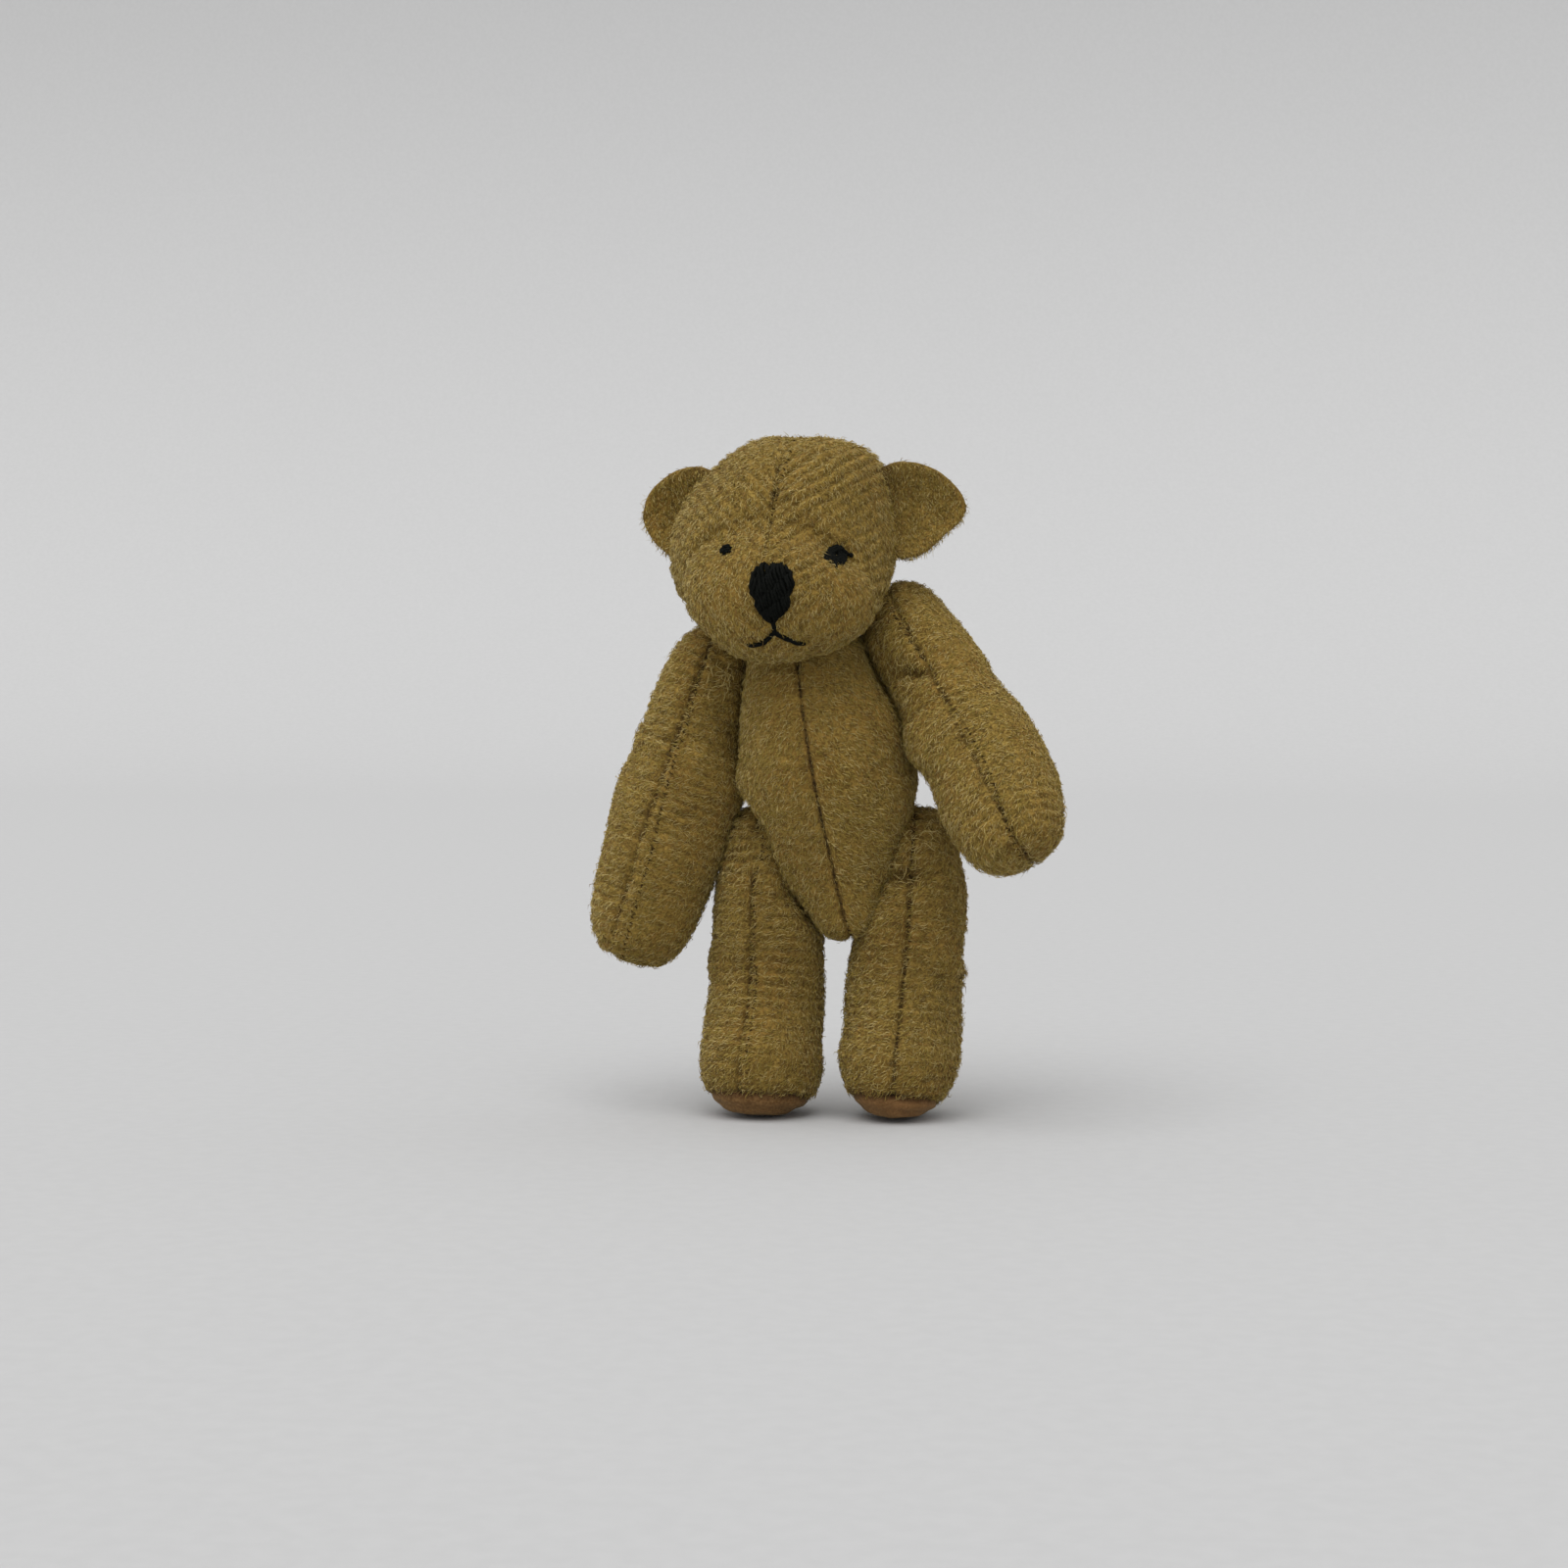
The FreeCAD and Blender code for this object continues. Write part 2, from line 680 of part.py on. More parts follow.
def build():
    """Make every sub-part and group the torso's five washers, which are alike."""
    torso()
    washers = [head()]
    for name, side in SIDES.items():
        washers.append(arm(name, side))
        washers.append(leg(name, side))
    group = doc.addObject("Part::Compound", "body_washers")
    group.Links = washers
    keep(group)
    doc.recompute()
    centre()


def centre():
    """Slide every sub-part so that the origin lies under the middle of the whole bear."""
    slide = at(dim("centre_x"), dim("centre_y"), 0)
    for piece in kept:
        piece.Placement = slide.multiply(piece.Placement)
    doc.recompute()


def check():
    """Stop before writing if anything failed or any sub-part isn't a valid solid."""
    for thing in doc.Objects:
        if "Invalid" in thing.State or "Error" in thing.State:
            raise RuntimeError(f"{thing.Name} failed: {thing.State}")
    for piece in kept:
        shape = piece.Shape
        if shape.isNull() or not shape.isValid() or not shape.Solids:
            raise RuntimeError(f"{piece.Name} is not a valid solid")


def export():
    os.makedirs("parts", exist_ok=True)
    for piece in kept:
        piece.Shape.exportStep(f"parts/{piece.Label}.step")
        print(f"{piece.Label}: {len(piece.Shape.Solids)} solid, "
              f"{piece.Shape.Volume:.1f} mm3")


build()
check()
export()
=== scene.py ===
import json
import math

import bpy
import numpy as np
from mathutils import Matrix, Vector
from mathutils.bvhtree import BVHTree


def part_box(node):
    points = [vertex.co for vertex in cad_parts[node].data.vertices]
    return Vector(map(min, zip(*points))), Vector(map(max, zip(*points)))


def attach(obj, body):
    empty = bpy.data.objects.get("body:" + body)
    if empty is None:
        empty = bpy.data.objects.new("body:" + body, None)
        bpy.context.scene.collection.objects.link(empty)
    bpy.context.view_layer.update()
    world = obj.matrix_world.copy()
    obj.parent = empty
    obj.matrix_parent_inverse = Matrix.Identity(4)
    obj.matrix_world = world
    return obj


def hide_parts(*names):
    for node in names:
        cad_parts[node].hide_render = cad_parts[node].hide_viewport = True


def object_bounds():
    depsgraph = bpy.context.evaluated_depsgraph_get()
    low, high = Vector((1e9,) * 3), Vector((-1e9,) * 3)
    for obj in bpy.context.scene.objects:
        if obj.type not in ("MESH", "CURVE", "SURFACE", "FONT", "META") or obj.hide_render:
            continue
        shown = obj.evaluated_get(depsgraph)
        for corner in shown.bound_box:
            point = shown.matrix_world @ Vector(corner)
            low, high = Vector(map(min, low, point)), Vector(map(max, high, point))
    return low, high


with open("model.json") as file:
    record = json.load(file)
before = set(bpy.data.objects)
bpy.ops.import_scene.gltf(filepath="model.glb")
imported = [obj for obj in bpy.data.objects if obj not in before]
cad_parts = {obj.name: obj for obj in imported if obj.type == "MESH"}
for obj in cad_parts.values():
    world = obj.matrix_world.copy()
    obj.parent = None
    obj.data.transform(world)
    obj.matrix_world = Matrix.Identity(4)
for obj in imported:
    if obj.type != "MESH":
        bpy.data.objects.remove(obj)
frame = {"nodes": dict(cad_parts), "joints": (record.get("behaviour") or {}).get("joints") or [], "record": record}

cad_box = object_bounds()
MM = 0.001

# The bear: felt panels over stuffing. Lengths below are in millimetres unless a name says
# otherwise. Heights are above the ground, and places are the frame's: X to the bear's left,
# Y to its back, Z up.
SIDES = {"left": 1.0, "right": -1.0}
CELL = 0.34              # size of one quad of felt
FELT = 0.55              # thickness shown at a panel's turned-in edge
CONTACT_GAP = 0.12       # between two parts pressed together at a joint
SEAT_DEPTH = 3.0         # how deep a part may be pressed in
RAY_REACH = 60.0         # farther out than any part

EYE_SHIFT = {"left": 0.0, "right": 1.2}      # from the CAD eyes, to the bear's left
EYE_DROP = 1.1                               # how far the eyes sit below the CAD eyes
FACE_SHIFT = 0.5                             # the same for nose and mouth, to the bear's left
NOSE_DROP = 0.5


# ---------------- camera, stage and light

LENS_MM = 69.4
SENSOR_MM = 36.0
CAMERA_DISTANCE = 350.0
CAMERA_AZIMUTH = 8.5
CAMERA_ELEVATION = 2.0
CAMERA_SHIFT = (-0.0226, -0.0044)
CLIP_START_M = 0.01
LIGHT_SPREAD = 55.0      # degrees
KEY_TOWARD, KEY_STRENGTH = (-0.12, -0.60, 1.25), 1.60
FILL_TOWARD, FILL_STRENGTH = (0.4, -0.8, 0.30), 0.10
SURROUND_STRENGTH = 0.70


def add_camera():
    """Looks at the middle of the bear from its front, a little from its left."""
    low, high = cad_box
    target = Vector((0, 0, (low.z + high.z) / 2))
    around = math.radians(CAMERA_AZIMUTH)
    above = math.radians(CAMERA_ELEVATION)
    away = Vector((math.sin(around) * math.cos(above),
                   -math.cos(around) * math.cos(above), math.sin(above)))
    data = bpy.data.cameras.new("camera")
    data.lens = LENS_MM
    data.sensor_width = SENSOR_MM
    data.shift_x, data.shift_y = CAMERA_SHIFT
    data.clip_start = CLIP_START_M
    camera = bpy.data.objects.new("camera", data)
    camera.location = target + away * CAMERA_DISTANCE * MM
    camera.rotation_euler = (-away).to_track_quat("-Z", "Y").to_euler()
    bpy.context.collection.objects.link(camera)
    bpy.context.scene.camera = camera


def add_light(name, toward, strength):
    """Light from a broad patch of the surround, in the given direction from the bear."""
    data = bpy.data.lights.new(name, "SUN")
    data.energy = strength
    data.angle = math.radians(LIGHT_SPREAD)
    light = bpy.data.objects.new(name, data)
    light.rotation_euler = (-Vector(toward)).to_track_quat("-Z", "Y").to_euler()
    bpy.context.collection.objects.link(light)


def add_studio():
    """An even pale surround and two broad soft lights from above and in front."""
    add_light("key", KEY_TOWARD, KEY_STRENGTH)
    add_light("fill", FILL_TOWARD, FILL_STRENGTH)
    world = bpy.data.worlds.new("studio")
    world.use_nodes = True
    surround = world.node_tree.nodes["Background"]
    surround.inputs["Color"].default_value = (1.0, 1.0, 1.0, 1)
    surround.inputs["Strength"].default_value = SURROUND_STRENGTH
    bpy.context.scene.world = world
    bpy.context.scene.view_settings.view_transform = "Standard"


def add_floor(material):
    """A floor that curves up into a backdrop behind the bear."""
    half_width, front, back, bend, height = 1500.0, -900.0, 900.0, 500.0, 1500.0
    steps = 12
    profile = [(front, 0.0), (back, 0.0)]
    for step in range(1, steps + 1):
        angle = math.pi / 2 * step / steps
        profile.append((back + bend * math.sin(angle), bend * (1 - math.cos(angle))))
    profile.append((back + bend, height))
    verts = [(x, y, z) for y, z in profile for x in (-half_width, half_width)]
    faces = [(2 * i, 2 * i + 1, 2 * i + 3, 2 * i + 2) for i in range(len(profile) - 1)]
    add_mesh("floor", np.array(verts), faces, material)


# ---------------- meshes and noise

def add_mesh(name, points, faces, *materials, slots=None, shade=None):
    """A smooth mesh object from points in millimetres."""
    mesh = bpy.data.meshes.new(name)
    faces = faces.tolist() if isinstance(faces, np.ndarray) else faces
    mesh.from_pydata((np.asarray(points) * MM).tolist(), [], faces)
    for material in materials:
        mesh.materials.append(material)
    mesh.polygons.foreach_set("use_smooth", np.ones(len(mesh.polygons), bool))
    if slots is not None:
        mesh.polygons.foreach_set("material_index", slots)
    # shade is painted shade, one number per point, that the felt material reads
    if shade is not None:
        mesh.attributes.new("shade", "FLOAT", "POINT").data.foreach_set("value", shade)
    thing = bpy.data.objects.new(name, mesh)
    bpy.context.collection.objects.link(thing)
    return thing


def dress(thing, body, node=None):
    """Says what a piece rides on and which CAD node it stands for, which it hides."""
    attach(thing, body)
    if node:
        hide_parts(node)


def add_threads(name, threads, material, body, node=None):
    """One piece made of many threads, each a pair of points and faces."""
    points, faces, count = [], [], 0
    for thread_points, thread_faces in threads:
        points.append(thread_points)
        faces += [tuple(i + count for i in face) for face in thread_faces]
        count += len(thread_points)
    dress(add_mesh(name, np.concatenate(points), faces, material), body, node)


def lumps(points, size, seed):
    """Smooth noise of about -1 to 1 at points, with lumps of about the given size."""
    waves, longer = 14, (1.3, 3.2)
    draw = np.random.default_rng(seed)
    ways = draw.normal(size=(waves, 3))
    ways /= np.linalg.norm(ways, axis=1)[:, None]
    pace = 2 * math.pi / (size * draw.uniform(*longer, waves))
    phase = draw.uniform(0, 2 * math.pi, waves)
    waves_at = np.sin((points @ ways.T) * pace + phase)
    return waves_at.sum(-1) / math.sqrt(waves)


def unit(vectors):
    """Vectors made one long; a vector of no length stays so."""
    return vectors / np.maximum(np.linalg.norm(vectors, axis=-1, keepdims=True), 1e-12)


def bell(offset, width):
    """1 where offset is nothing, falling smoothly to nothing over about two widths."""
    return np.exp(-(offset / width) ** 2)


def box_mm(node):
    """The low and high corner of a CAD node in millimetres."""
    return [np.array(corner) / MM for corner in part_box(node)]


def middle_of(node):
    """The middle of a CAD node in millimetres."""
    return sum(box_mm(node)) / 2


def eye_place(side):
    """Where an eye is sewn: the CAD eye's place, moved to the photo's."""
    return middle_of(f"{side}_eye") + np.array([EYE_SHIFT[side], 0, -EYE_DROP])


def node_points(*nodes):
    """Corners of CAD nodes in millimetres."""
    clouds = []
    for node in nodes:
        mesh = frame["nodes"][node].data
        cloud = np.empty(len(mesh.vertices) * 3)
        mesh.vertices.foreach_get("co", cloud)
        clouds.append(cloud.reshape(-1, 3))
    return np.concatenate(clouds) / MM


def node_tree(nodes):
    """A ray-casting tree over the outside and inside of CAD nodes."""
    points, polygons, count = [], [], 0
    for node in nodes:
        mesh = frame["nodes"][node].data
        points += [vertex.co / MM for vertex in mesh.vertices]
        polygons += [[i + count for i in face.vertices] for face in mesh.polygons]
        count += len(mesh.vertices)
    return BVHTree.FromPolygons(points, polygons)


def joint_named(name):
    """The frame's record of one joint."""
    return next(joint for joint in frame["joints"] if joint["name"] == name)


def grid_faces(rows, columns, first, last, low, high, closed=True):
    """Quads between two columns and two rows of a grid whose first row is one point.

    The last row is one point too, if the grid is closed.
    """
    quads = []
    for row in range(low, high):
        for column in range(first, last):
            a = row * columns + column % columns
            b = row * columns + (column + 1) % columns
            c, d = b + columns, a + columns
            if row == 0:
                quads.append((0, d, c))
            elif closed and row == rows - 2:
                quads.append((a, (row + 1) * columns, b))
            else:
                quads.append((a, d, c, b))
    return quads


def renumber(quads):
    """The points that quads use, and the quads counted in those points alone."""
    used = np.unique([i for quad in quads for i in quad])
    index = {old: new for new, old in enumerate(used.tolist())}
    return used, [tuple(index[i] for i in quad) for quad in quads]


def tube(path, radius, sides=7, ply=0.0, turn=3.0):
    """A round-ended thread along path; ply makes it of two strands turned round each other."""
    aside = np.array([0.31, -0.52, 0.79])        # no thread runs along this direction
    blunt_end = 0.06                             # square of the width left at the tip
    path = np.asarray(path, float)
    ways = unit(np.gradient(path, axis=0))
    side = unit(np.cross(ways, unit(aside)))
    up = np.cross(ways, side)
    run = np.concatenate([[0], np.cumsum(np.linalg.norm(np.diff(path, axis=0), axis=1))])
    ends = np.minimum(run, run[-1] - run) / radius
    width = radius * np.sqrt(np.clip(1 - (1 - np.clip(ends, 0, 1)) ** 2, blunt_end, 1))
    angle = np.linspace(0, 2 * math.pi, sides, endpoint=False)
    twist = angle[None] - (turn * run / (2 * radius))[:, None]
    size = width[:, None] * (1 + ply * np.cos(2 * twist))
    rings = (path[:, None] + size[..., None] * (np.cos(angle)[None, :, None] * side[:, None]
                                                + np.sin(angle)[None, :, None] * up[:, None]))
    count = len(path)
    faces = [tuple(range(sides))[::-1], tuple((count - 1) * sides + i for i in range(sides))]
    for row in range(count - 1):
        for i in range(sides):
            j = (i + 1) % sides
            faces.append((row * sides + i, row * sides + j,
                          (row + 1) * sides + j, (row + 1) * sides + i))
    return rings.reshape(-1, 3), faces


def curve_through(points, count):
    """Points along the Catmull-Rom curve through the given ones."""
    points = np.asarray(points, float)
    padded = np.concatenate([[2 * points[0] - points[1]], points, [2 * points[-1] - points[-2]]])
    out = []
    for place in np.linspace(0, len(points) - 1, count):
        i = min(int(place), len(points) - 2)
        t = place - i
        a, b, c, d = padded[i:i + 4]
        out.append(0.5 * (2 * b + (c - a) * t + (2 * a - 5 * b + 4 * c - d) * t ** 2
                          + (3 * b - a - 3 * c + d) * t ** 3))
    return np.array(out)


# ---------------- materials

SHEEN_TINT = (0.9, 0.75, 0.4, 1)
SHEEN_ROUGHNESS = 0.5
CLOTH_SPECULAR = 0.2
THREAD_SPECULAR = 0.05


def shader(name, roughness, specular=CLOTH_SPECULAR):
    """A material and its node tree and shader, rough and with little gloss."""
    material = bpy.data.materials.new(name)
    material.use_nodes = True
    tree = material.node_tree
    surface = tree.nodes["Principled BSDF"]
    surface.inputs["Roughness"].default_value = roughness
    surface.inputs["Specular IOR Level"].default_value = specular
    return material, tree, surface


def noise_node(tree, scale_per_mm, detail=3.0):
    """Noise over the object's own coordinates."""
    place = tree.nodes.new("ShaderNodeTexCoord")
    noise = tree.nodes.new("ShaderNodeTexNoise")
    noise.inputs["Scale"].default_value = scale_per_mm / MM
    noise.inputs["Detail"].default_value = detail
    tree.links.new(place.outputs["Object"], noise.inputs["Vector"])
    return noise.outputs["Fac"]


def blend_colours(tree, factor, low, high, spread=(0.35, 0.65)):
    """A ramp between two colours."""
    ramp = tree.nodes.new("ShaderNodeValToRGB")
    for stop, colour, place in zip(ramp.color_ramp.elements, (low, high), spread):
        stop.color = (*colour, 1)
        stop.position = place
    tree.links.new(factor, ramp.inputs["Fac"])
    return ramp.outputs["Color"]


def mixed(tree, kind, factor, first, second):
    """Mixes two colours; factor is a number or a socket, second a colour or a socket."""
    mix = tree.nodes.new("ShaderNodeMix")
    mix.data_type = "RGBA"
    mix.blend_type = kind
    if isinstance(factor, float):
        mix.inputs["Factor"].default_value = factor
    else:
        tree.links.new(factor, mix.inputs["Factor"])
    colour_a, colour_b = mix.inputs[6], mix.inputs[7]
    tree.links.new(first, colour_a)
    if isinstance(second, tuple):
        colour_b.default_value = (*second, 1)
    else:
        tree.links.new(second, colour_b)
    return mix.outputs[2]


def grey(tone):
    return (tone, tone, tone)


def add_bump(tree, surface, height, distance, strength=0.8):
    """Bump of the given distance in millimetres."""
    bump = tree.nodes.new("ShaderNodeBump")
    bump.inputs["Distance"].default_value = distance * MM
    bump.inputs["Strength"].default_value = strength
    tree.links.new(height, bump.inputs["Height"])
    tree.links.new(bump.outputs["Normal"], surface.inputs["Normal"])


def add_sheen(surface, weight):
    """The pale edge that wool shows."""
    surface.inputs["Sheen Weight"].default_value = weight
    surface.inputs["Sheen Roughness"].default_value = SHEEN_ROUGHNESS
    surface.inputs["Sheen Tint"].default_value = SHEEN_TINT


def grained(name, roughness, scale, detail, deep, pale, bump, specular=CLOTH_SPECULAR):
    """A material whose colour and bump both follow one noise."""
    material, tree, surface = shader(name, roughness, specular)
    grain = noise_node(tree, scale, detail)
    tree.links.new(blend_colours(tree, grain, deep, pale), surface.inputs["Base Color"])
    add_bump(tree, surface, grain, bump)
    return material


# seam is the colour of painted shade, used in seam grooves, creases, rib valleys and dimples alike
def felt_material(name, pale, deep, patch, seam):
    """Woolly felt: short matted hairs, patches where the dye took unevenly, and painted shade that mixes in the
    seam colour.
    """
    material, tree, surface = shader(name, roughness=0.95)
    matted = noise_node(tree, scale_per_mm=3.4, detail=4.0)
    hairs = blend_colours(tree, matted, deep, pale)
    uneven = noise_node(tree, scale_per_mm=0.12)
    patches = blend_colours(tree, uneven, grey(0), grey(1), spread=(0.42, 0.68))
    dyed = mixed(tree, "MIX", patches, hairs, mixed(tree, "MIX", 0.35, hairs, patch))
    rubbed = noise_node(tree, scale_per_mm=0.7)
    worn = blend_colours(tree, rubbed, (0.78, 0.78, 0.76), grey(1.0))
    dyed = mixed(tree, "MULTIPLY", 1.0, dyed, worn)
    # painted shade: the shade attribute mixes the felt towards the seam colour in seam grooves, between puckers,
    # in rib valleys, dimples, folds and creases
    painted_dark = tree.nodes.new("ShaderNodeAttribute")
    painted_dark.attribute_name = "shade"
    colour = mixed(tree, "MIX", painted_dark.outputs["Fac"], dyed, seam)
    tree.links.new(colour, surface.inputs["Base Color"])
    add_bump(tree, surface, noise_node(tree, scale_per_mm=2.6, detail=5.0), distance=0.16)
    add_sheen(surface, weight=0.12)
    return material


def fibre_material(name, colour):
    """One dyed hair colour of the nap; a hair is too fine to vary along its length."""
    material, _, surface = shader(name, roughness=0.8)
    surface.inputs["Base Color"].default_value = (*colour, 1)
    add_sheen(surface, weight=0.08)
    return material


def thread_material(name, pale, deep, roughness):
    """Mercerised thread with its fine strands."""
    return grained(name, roughness, scale=6.0, detail=2.0, deep=deep, pale=pale, bump=0.05,
                   specular=THREAD_SPECULAR)


def board_material():
    """Pressed fibreboard of the joint discs."""
    return grained("fibreboard", roughness=0.85, scale=4.0, detail=4.0,
                   deep=(0.13, 0.075, 0.035), pale=(0.30, 0.20, 0.11), bump=0.05)


def steel_material(name, tone):
    """Plain steel with faint scratches."""
    warmth = 0.97            # its blue, as a share of its red and green
    material, tree, surface = shader(name, roughness=0.3)
    surface.inputs["Metallic"].default_value = 1.0
    scratches = noise_node(tree, scale_per_mm=5.0, detail=5.0)
    surface.inputs["Base Color"].default_value = (tone, tone, tone * warmth, 1)
    worn = blend_colours(tree, scratches, grey(0.22), grey(0.48))
    tree.links.new(worn, surface.inputs["Roughness"])
    add_bump(tree, surface, scratches, distance=0.01, strength=0.3)
    return material


def floor_material():
    """Pale matt paper."""
    material, tree, surface = shader("paper_floor", roughness=0.9)
    grain = blend_colours(tree, noise_node(tree, scale_per_mm=0.5), grey(0.525), grey(0.540))
    tree.links.new(grain, surface.inputs["Base Color"])
    return material


# seam: the colour that painted shade mixes into each felt
GOLD = felt_material("golden_felt", pale=(0.385, 0.257, 0.060), deep=(0.160, 0.097, 0.018),
                     patch=(0.30, 0.150, 0.030), seam=(0.038, 0.018, 0.005))
SOLE = felt_material("sole_felt", pale=(0.28, 0.155, 0.056), deep=(0.140, 0.066, 0.020),
                     patch=(0.33, 0.16, 0.06), seam=(0.045, 0.018, 0.007))
NAP_COLOURS = {
    "nap_straw": (0.550, 0.428, 0.170),
    "nap_gold": (0.425, 0.302, 0.074),
    "nap_olive": (0.320, 0.236, 0.048),
    "nap_rust": (0.365, 0.210, 0.055),
    "nap_brown": (0.165, 0.098, 0.025),
}
NAP = [fibre_material(name, colour) for name, colour in NAP_COLOURS.items()]
NAP_SHARES = np.array([0.24, 0.38, 0.23, 0.07, 0.08])
BLACK = thread_material("black_thread", pale=(0.0060, 0.0066, 0.0052),
                        deep=(0.0016, 0.0020, 0.0015), roughness=0.6)
BROWN = thread_material("brown_thread", pale=(0.075, 0.045, 0.016),
                        deep=(0.022, 0.012, 0.004), roughness=0.85)
STUFFING = felt_material("stuffing_wool", pale=(0.68, 0.62, 0.50), deep=(0.45, 0.40, 0.30),
                         patch=(0.60, 0.52, 0.38), seam=(0.2, 0.18, 0.14))


# ---------------- the shape of each felt part

CAP_EASE = 1.15          # extra rows over a part's rounded ends
GIRTH_EASE = 1.12        # extra columns, because a part is thicker than its ends
RELAX_PULL = 0.5         # how far one pass of evening goes
END_HOLD = 0.7           # how much of its own place an end point keeps in a pass
WIDEN_BLEND = 1.2        # height over which a widening comes in
SEAT_EDGE = 1.25         # a seat fades out at this share of its reach
SEAT_FALL = 0.7
DIMPLE_PAINTED_SHADE = 0.35      # painted shade that a dimple gets per millimetre of its depth


class Skin:
    """A felt surface as a grid of rows and columns, with its own middle and axes."""

    closed = True            # whether the last row is one point, as the first is

    def local(self, points):
        """Coordinates to the left, to the back and up the piece."""
        offset = points - self.middle
        return np.stack([offset @ self.left, offset @ self.back, offset @ self.up], -1)

    def slopes(self):
        """Unit directions at right angles to the surface, all on one side of it."""
        around = np.roll(self.grid, -1, 1) - np.roll(self.grid, 1, 1)
        along = np.gradient(self.grid, axis=0)
        return unit(np.cross(along, around))

    def faces(self, first, last, low, high):
        """Quads between two columns and two rows."""
        return grid_faces(*self.grid.shape[:2], first, last, low, high, self.closed)


class Part(Skin):
    """A felt-covered part: its own axes and a grid of rows from its top to its bottom.

    Columns run from the front seam (column 0) over the bear's left side to the back seam
    and home over its right side; the first and last row are single points.
    """

    def __init__(self, body, up=None, cap=5.5, tail=None, middle_lift=None):
        """Rays come in round a line that ends one cap short of the part's top and bottom.

        tail replaces the line's lower end and gives the way down there. middle_lift puts
        the whole line at one point, that far above the middle.
        """
        self.body = body
        self.nodes = [n for n in frame["record"]["behaviour"]["bodies"][body]
                      if n.startswith(body) and n.endswith(("panel", "stitches", "sole"))]
        seam = node_points(f"{body}_seam_stitches")
        self.middle = (seam.min(0) + seam.max(0)) / 2
        spread = np.linalg.svd(seam - seam.mean(0), full_matrices=False)[2]
        self.left = spread[2] * np.sign(spread[2][0])
        main = spread[0] * np.sign(spread[0][2]) if up is None else np.asarray(up, float)
        self.up = unit(main - self.left * (main @ self.left))
        self.back = np.cross(self.up, self.left)
        self.shape(cap, tail, middle_lift)
        # painted shade in dimples and folds
        self.painted_dimple_shade = np.zeros(self.grid.shape[:2])
        self.folds = []      # (place, size, rise) of folds and dimples in the stuffed felt; a sunken one also gets painted shade

    def shape(self, cap, tail, middle_lift):
        """Casts rays from outside on to the CAD part, row by row."""
        heights = self.local(node_points(*self.nodes))[:, 2]
        inner_top = self.middle + self.up * (heights.max() - cap)
        inner_bottom, down = self.middle + self.up * (heights.min() + cap), -self.up
        if tail is not None:
            inner_bottom, down = tail
        if middle_lift is not None:
            inner_top = inner_bottom = self.middle + self.up * middle_lift
        caps = round(CAP_EASE * cap * math.pi / 2 / CELL)
        spans = round(np.linalg.norm(inner_top - inner_bottom) / CELL)
        self.columns = 4 * round(2 * math.pi * cap * GIRTH_EASE / CELL / 4)
        around = np.linspace(0, 2 * math.pi, self.columns, endpoint=False)
        tree = node_tree(self.nodes)
        rows = [(inner_top, a, 0.0) for a in np.linspace(0, math.pi / 2, caps + 1)]
        for t in np.linspace(0, 1, spans + 1)[1:]:
            rows.append((inner_top + (inner_bottom - inner_top) * t, math.pi / 2, t))
        rows += [(inner_bottom, a, 1.0)
                 for a in np.linspace(math.pi / 2, math.pi, caps + 1)[1:]]
        self.grid = np.empty((len(rows), self.columns, 3))
        for i, (centre, angle, bend) in enumerate(rows):
            axis = unit(self.up * (1 - bend) - down * bend)
            front = unit(-self.back + axis * (self.back @ axis))
            for j, turn in enumerate(around):
                way = (axis * math.cos(angle)
                       + (front * math.cos(turn) + self.left * math.sin(turn)) * math.sin(angle))
                outside = Vector(centre + way * RAY_REACH)
                hit = tree.ray_cast(outside, Vector(-way), 2 * RAY_REACH)[0]
                self.grid[i, j] = hit if hit else centre + way * cap
                if i in (0, len(rows) - 1) and j == 0:
                    self.grid[i] = self.grid[i, 0]
                    break

    def relax(self, passes):
        """Evens the rows and columns out, as felt rounds over its stuffing.

        The part keeps its girth.
        """
        first = self.grid
        for _ in range(passes):
            g = self.grid
            around = (np.roll(g, 1, 1) + np.roll(g, -1, 1)) / 2
            along = g.copy()
            along[1:-1] = (g[:-2] + g[2:]) / 2
            even = (around + along) / 2
            even[0] = g[0] * END_HOLD + g[1].mean(0) * (1 - END_HOLD)
            even[-1] = g[-1] * END_HOLD + g[-2].mean(0) * (1 - END_HOLD)
            self.grid = g + (even - g) * RELAX_PULL
        out = self.normals()
        self.grid = self.grid + out * ((first - self.grid) * out).sum(-1).mean()

    def swell(self, place, size, rise):
        """Raises a round swelling at a place in the frame, or sinks a dimple and paints shade into it."""
        far = np.linalg.norm((self.grid - np.array(place)) / np.array(size), axis=-1)
        share = bell(far, 1.0)
        self.grid = self.grid + self.normals() * (rise * share)[..., None]
        self.painted_dimple_shade = self.painted_dimple_shade + DIMPLE_PAINTED_SHADE * max(-rise, 0) * share

    def lean(self, shift, start, end):
        """Slides the part, from nothing at one height to all of shift at another."""
        share = np.clip((self.grid[..., 2] - start) / (end - start), 0, 1)
        share = share * share * (3 - 2 * share)
        self.grid = self.grid + share[..., None] * np.array(shift)

    def widen(self, way, heights, limits):
        """Widens rows toward way until they reach a limit that changes with height."""
        way = np.array(way, float)
        for row in self.grid[1:-1]:
            centre = row.mean(0)
            inside = min(centre[2] - heights[0], heights[-1] - centre[2]) / WIDEN_BLEND
            offset = (row - centre) @ way
            limit = np.interp(centre[2], heights, limits)
            grow = (limit - centre @ way) / offset.max()
            if inside > 0 and grow > 1:
                grow = (grow - 1) * min(inside, 1)
                row += (np.maximum(offset, 0) * grow)[:, None] * way

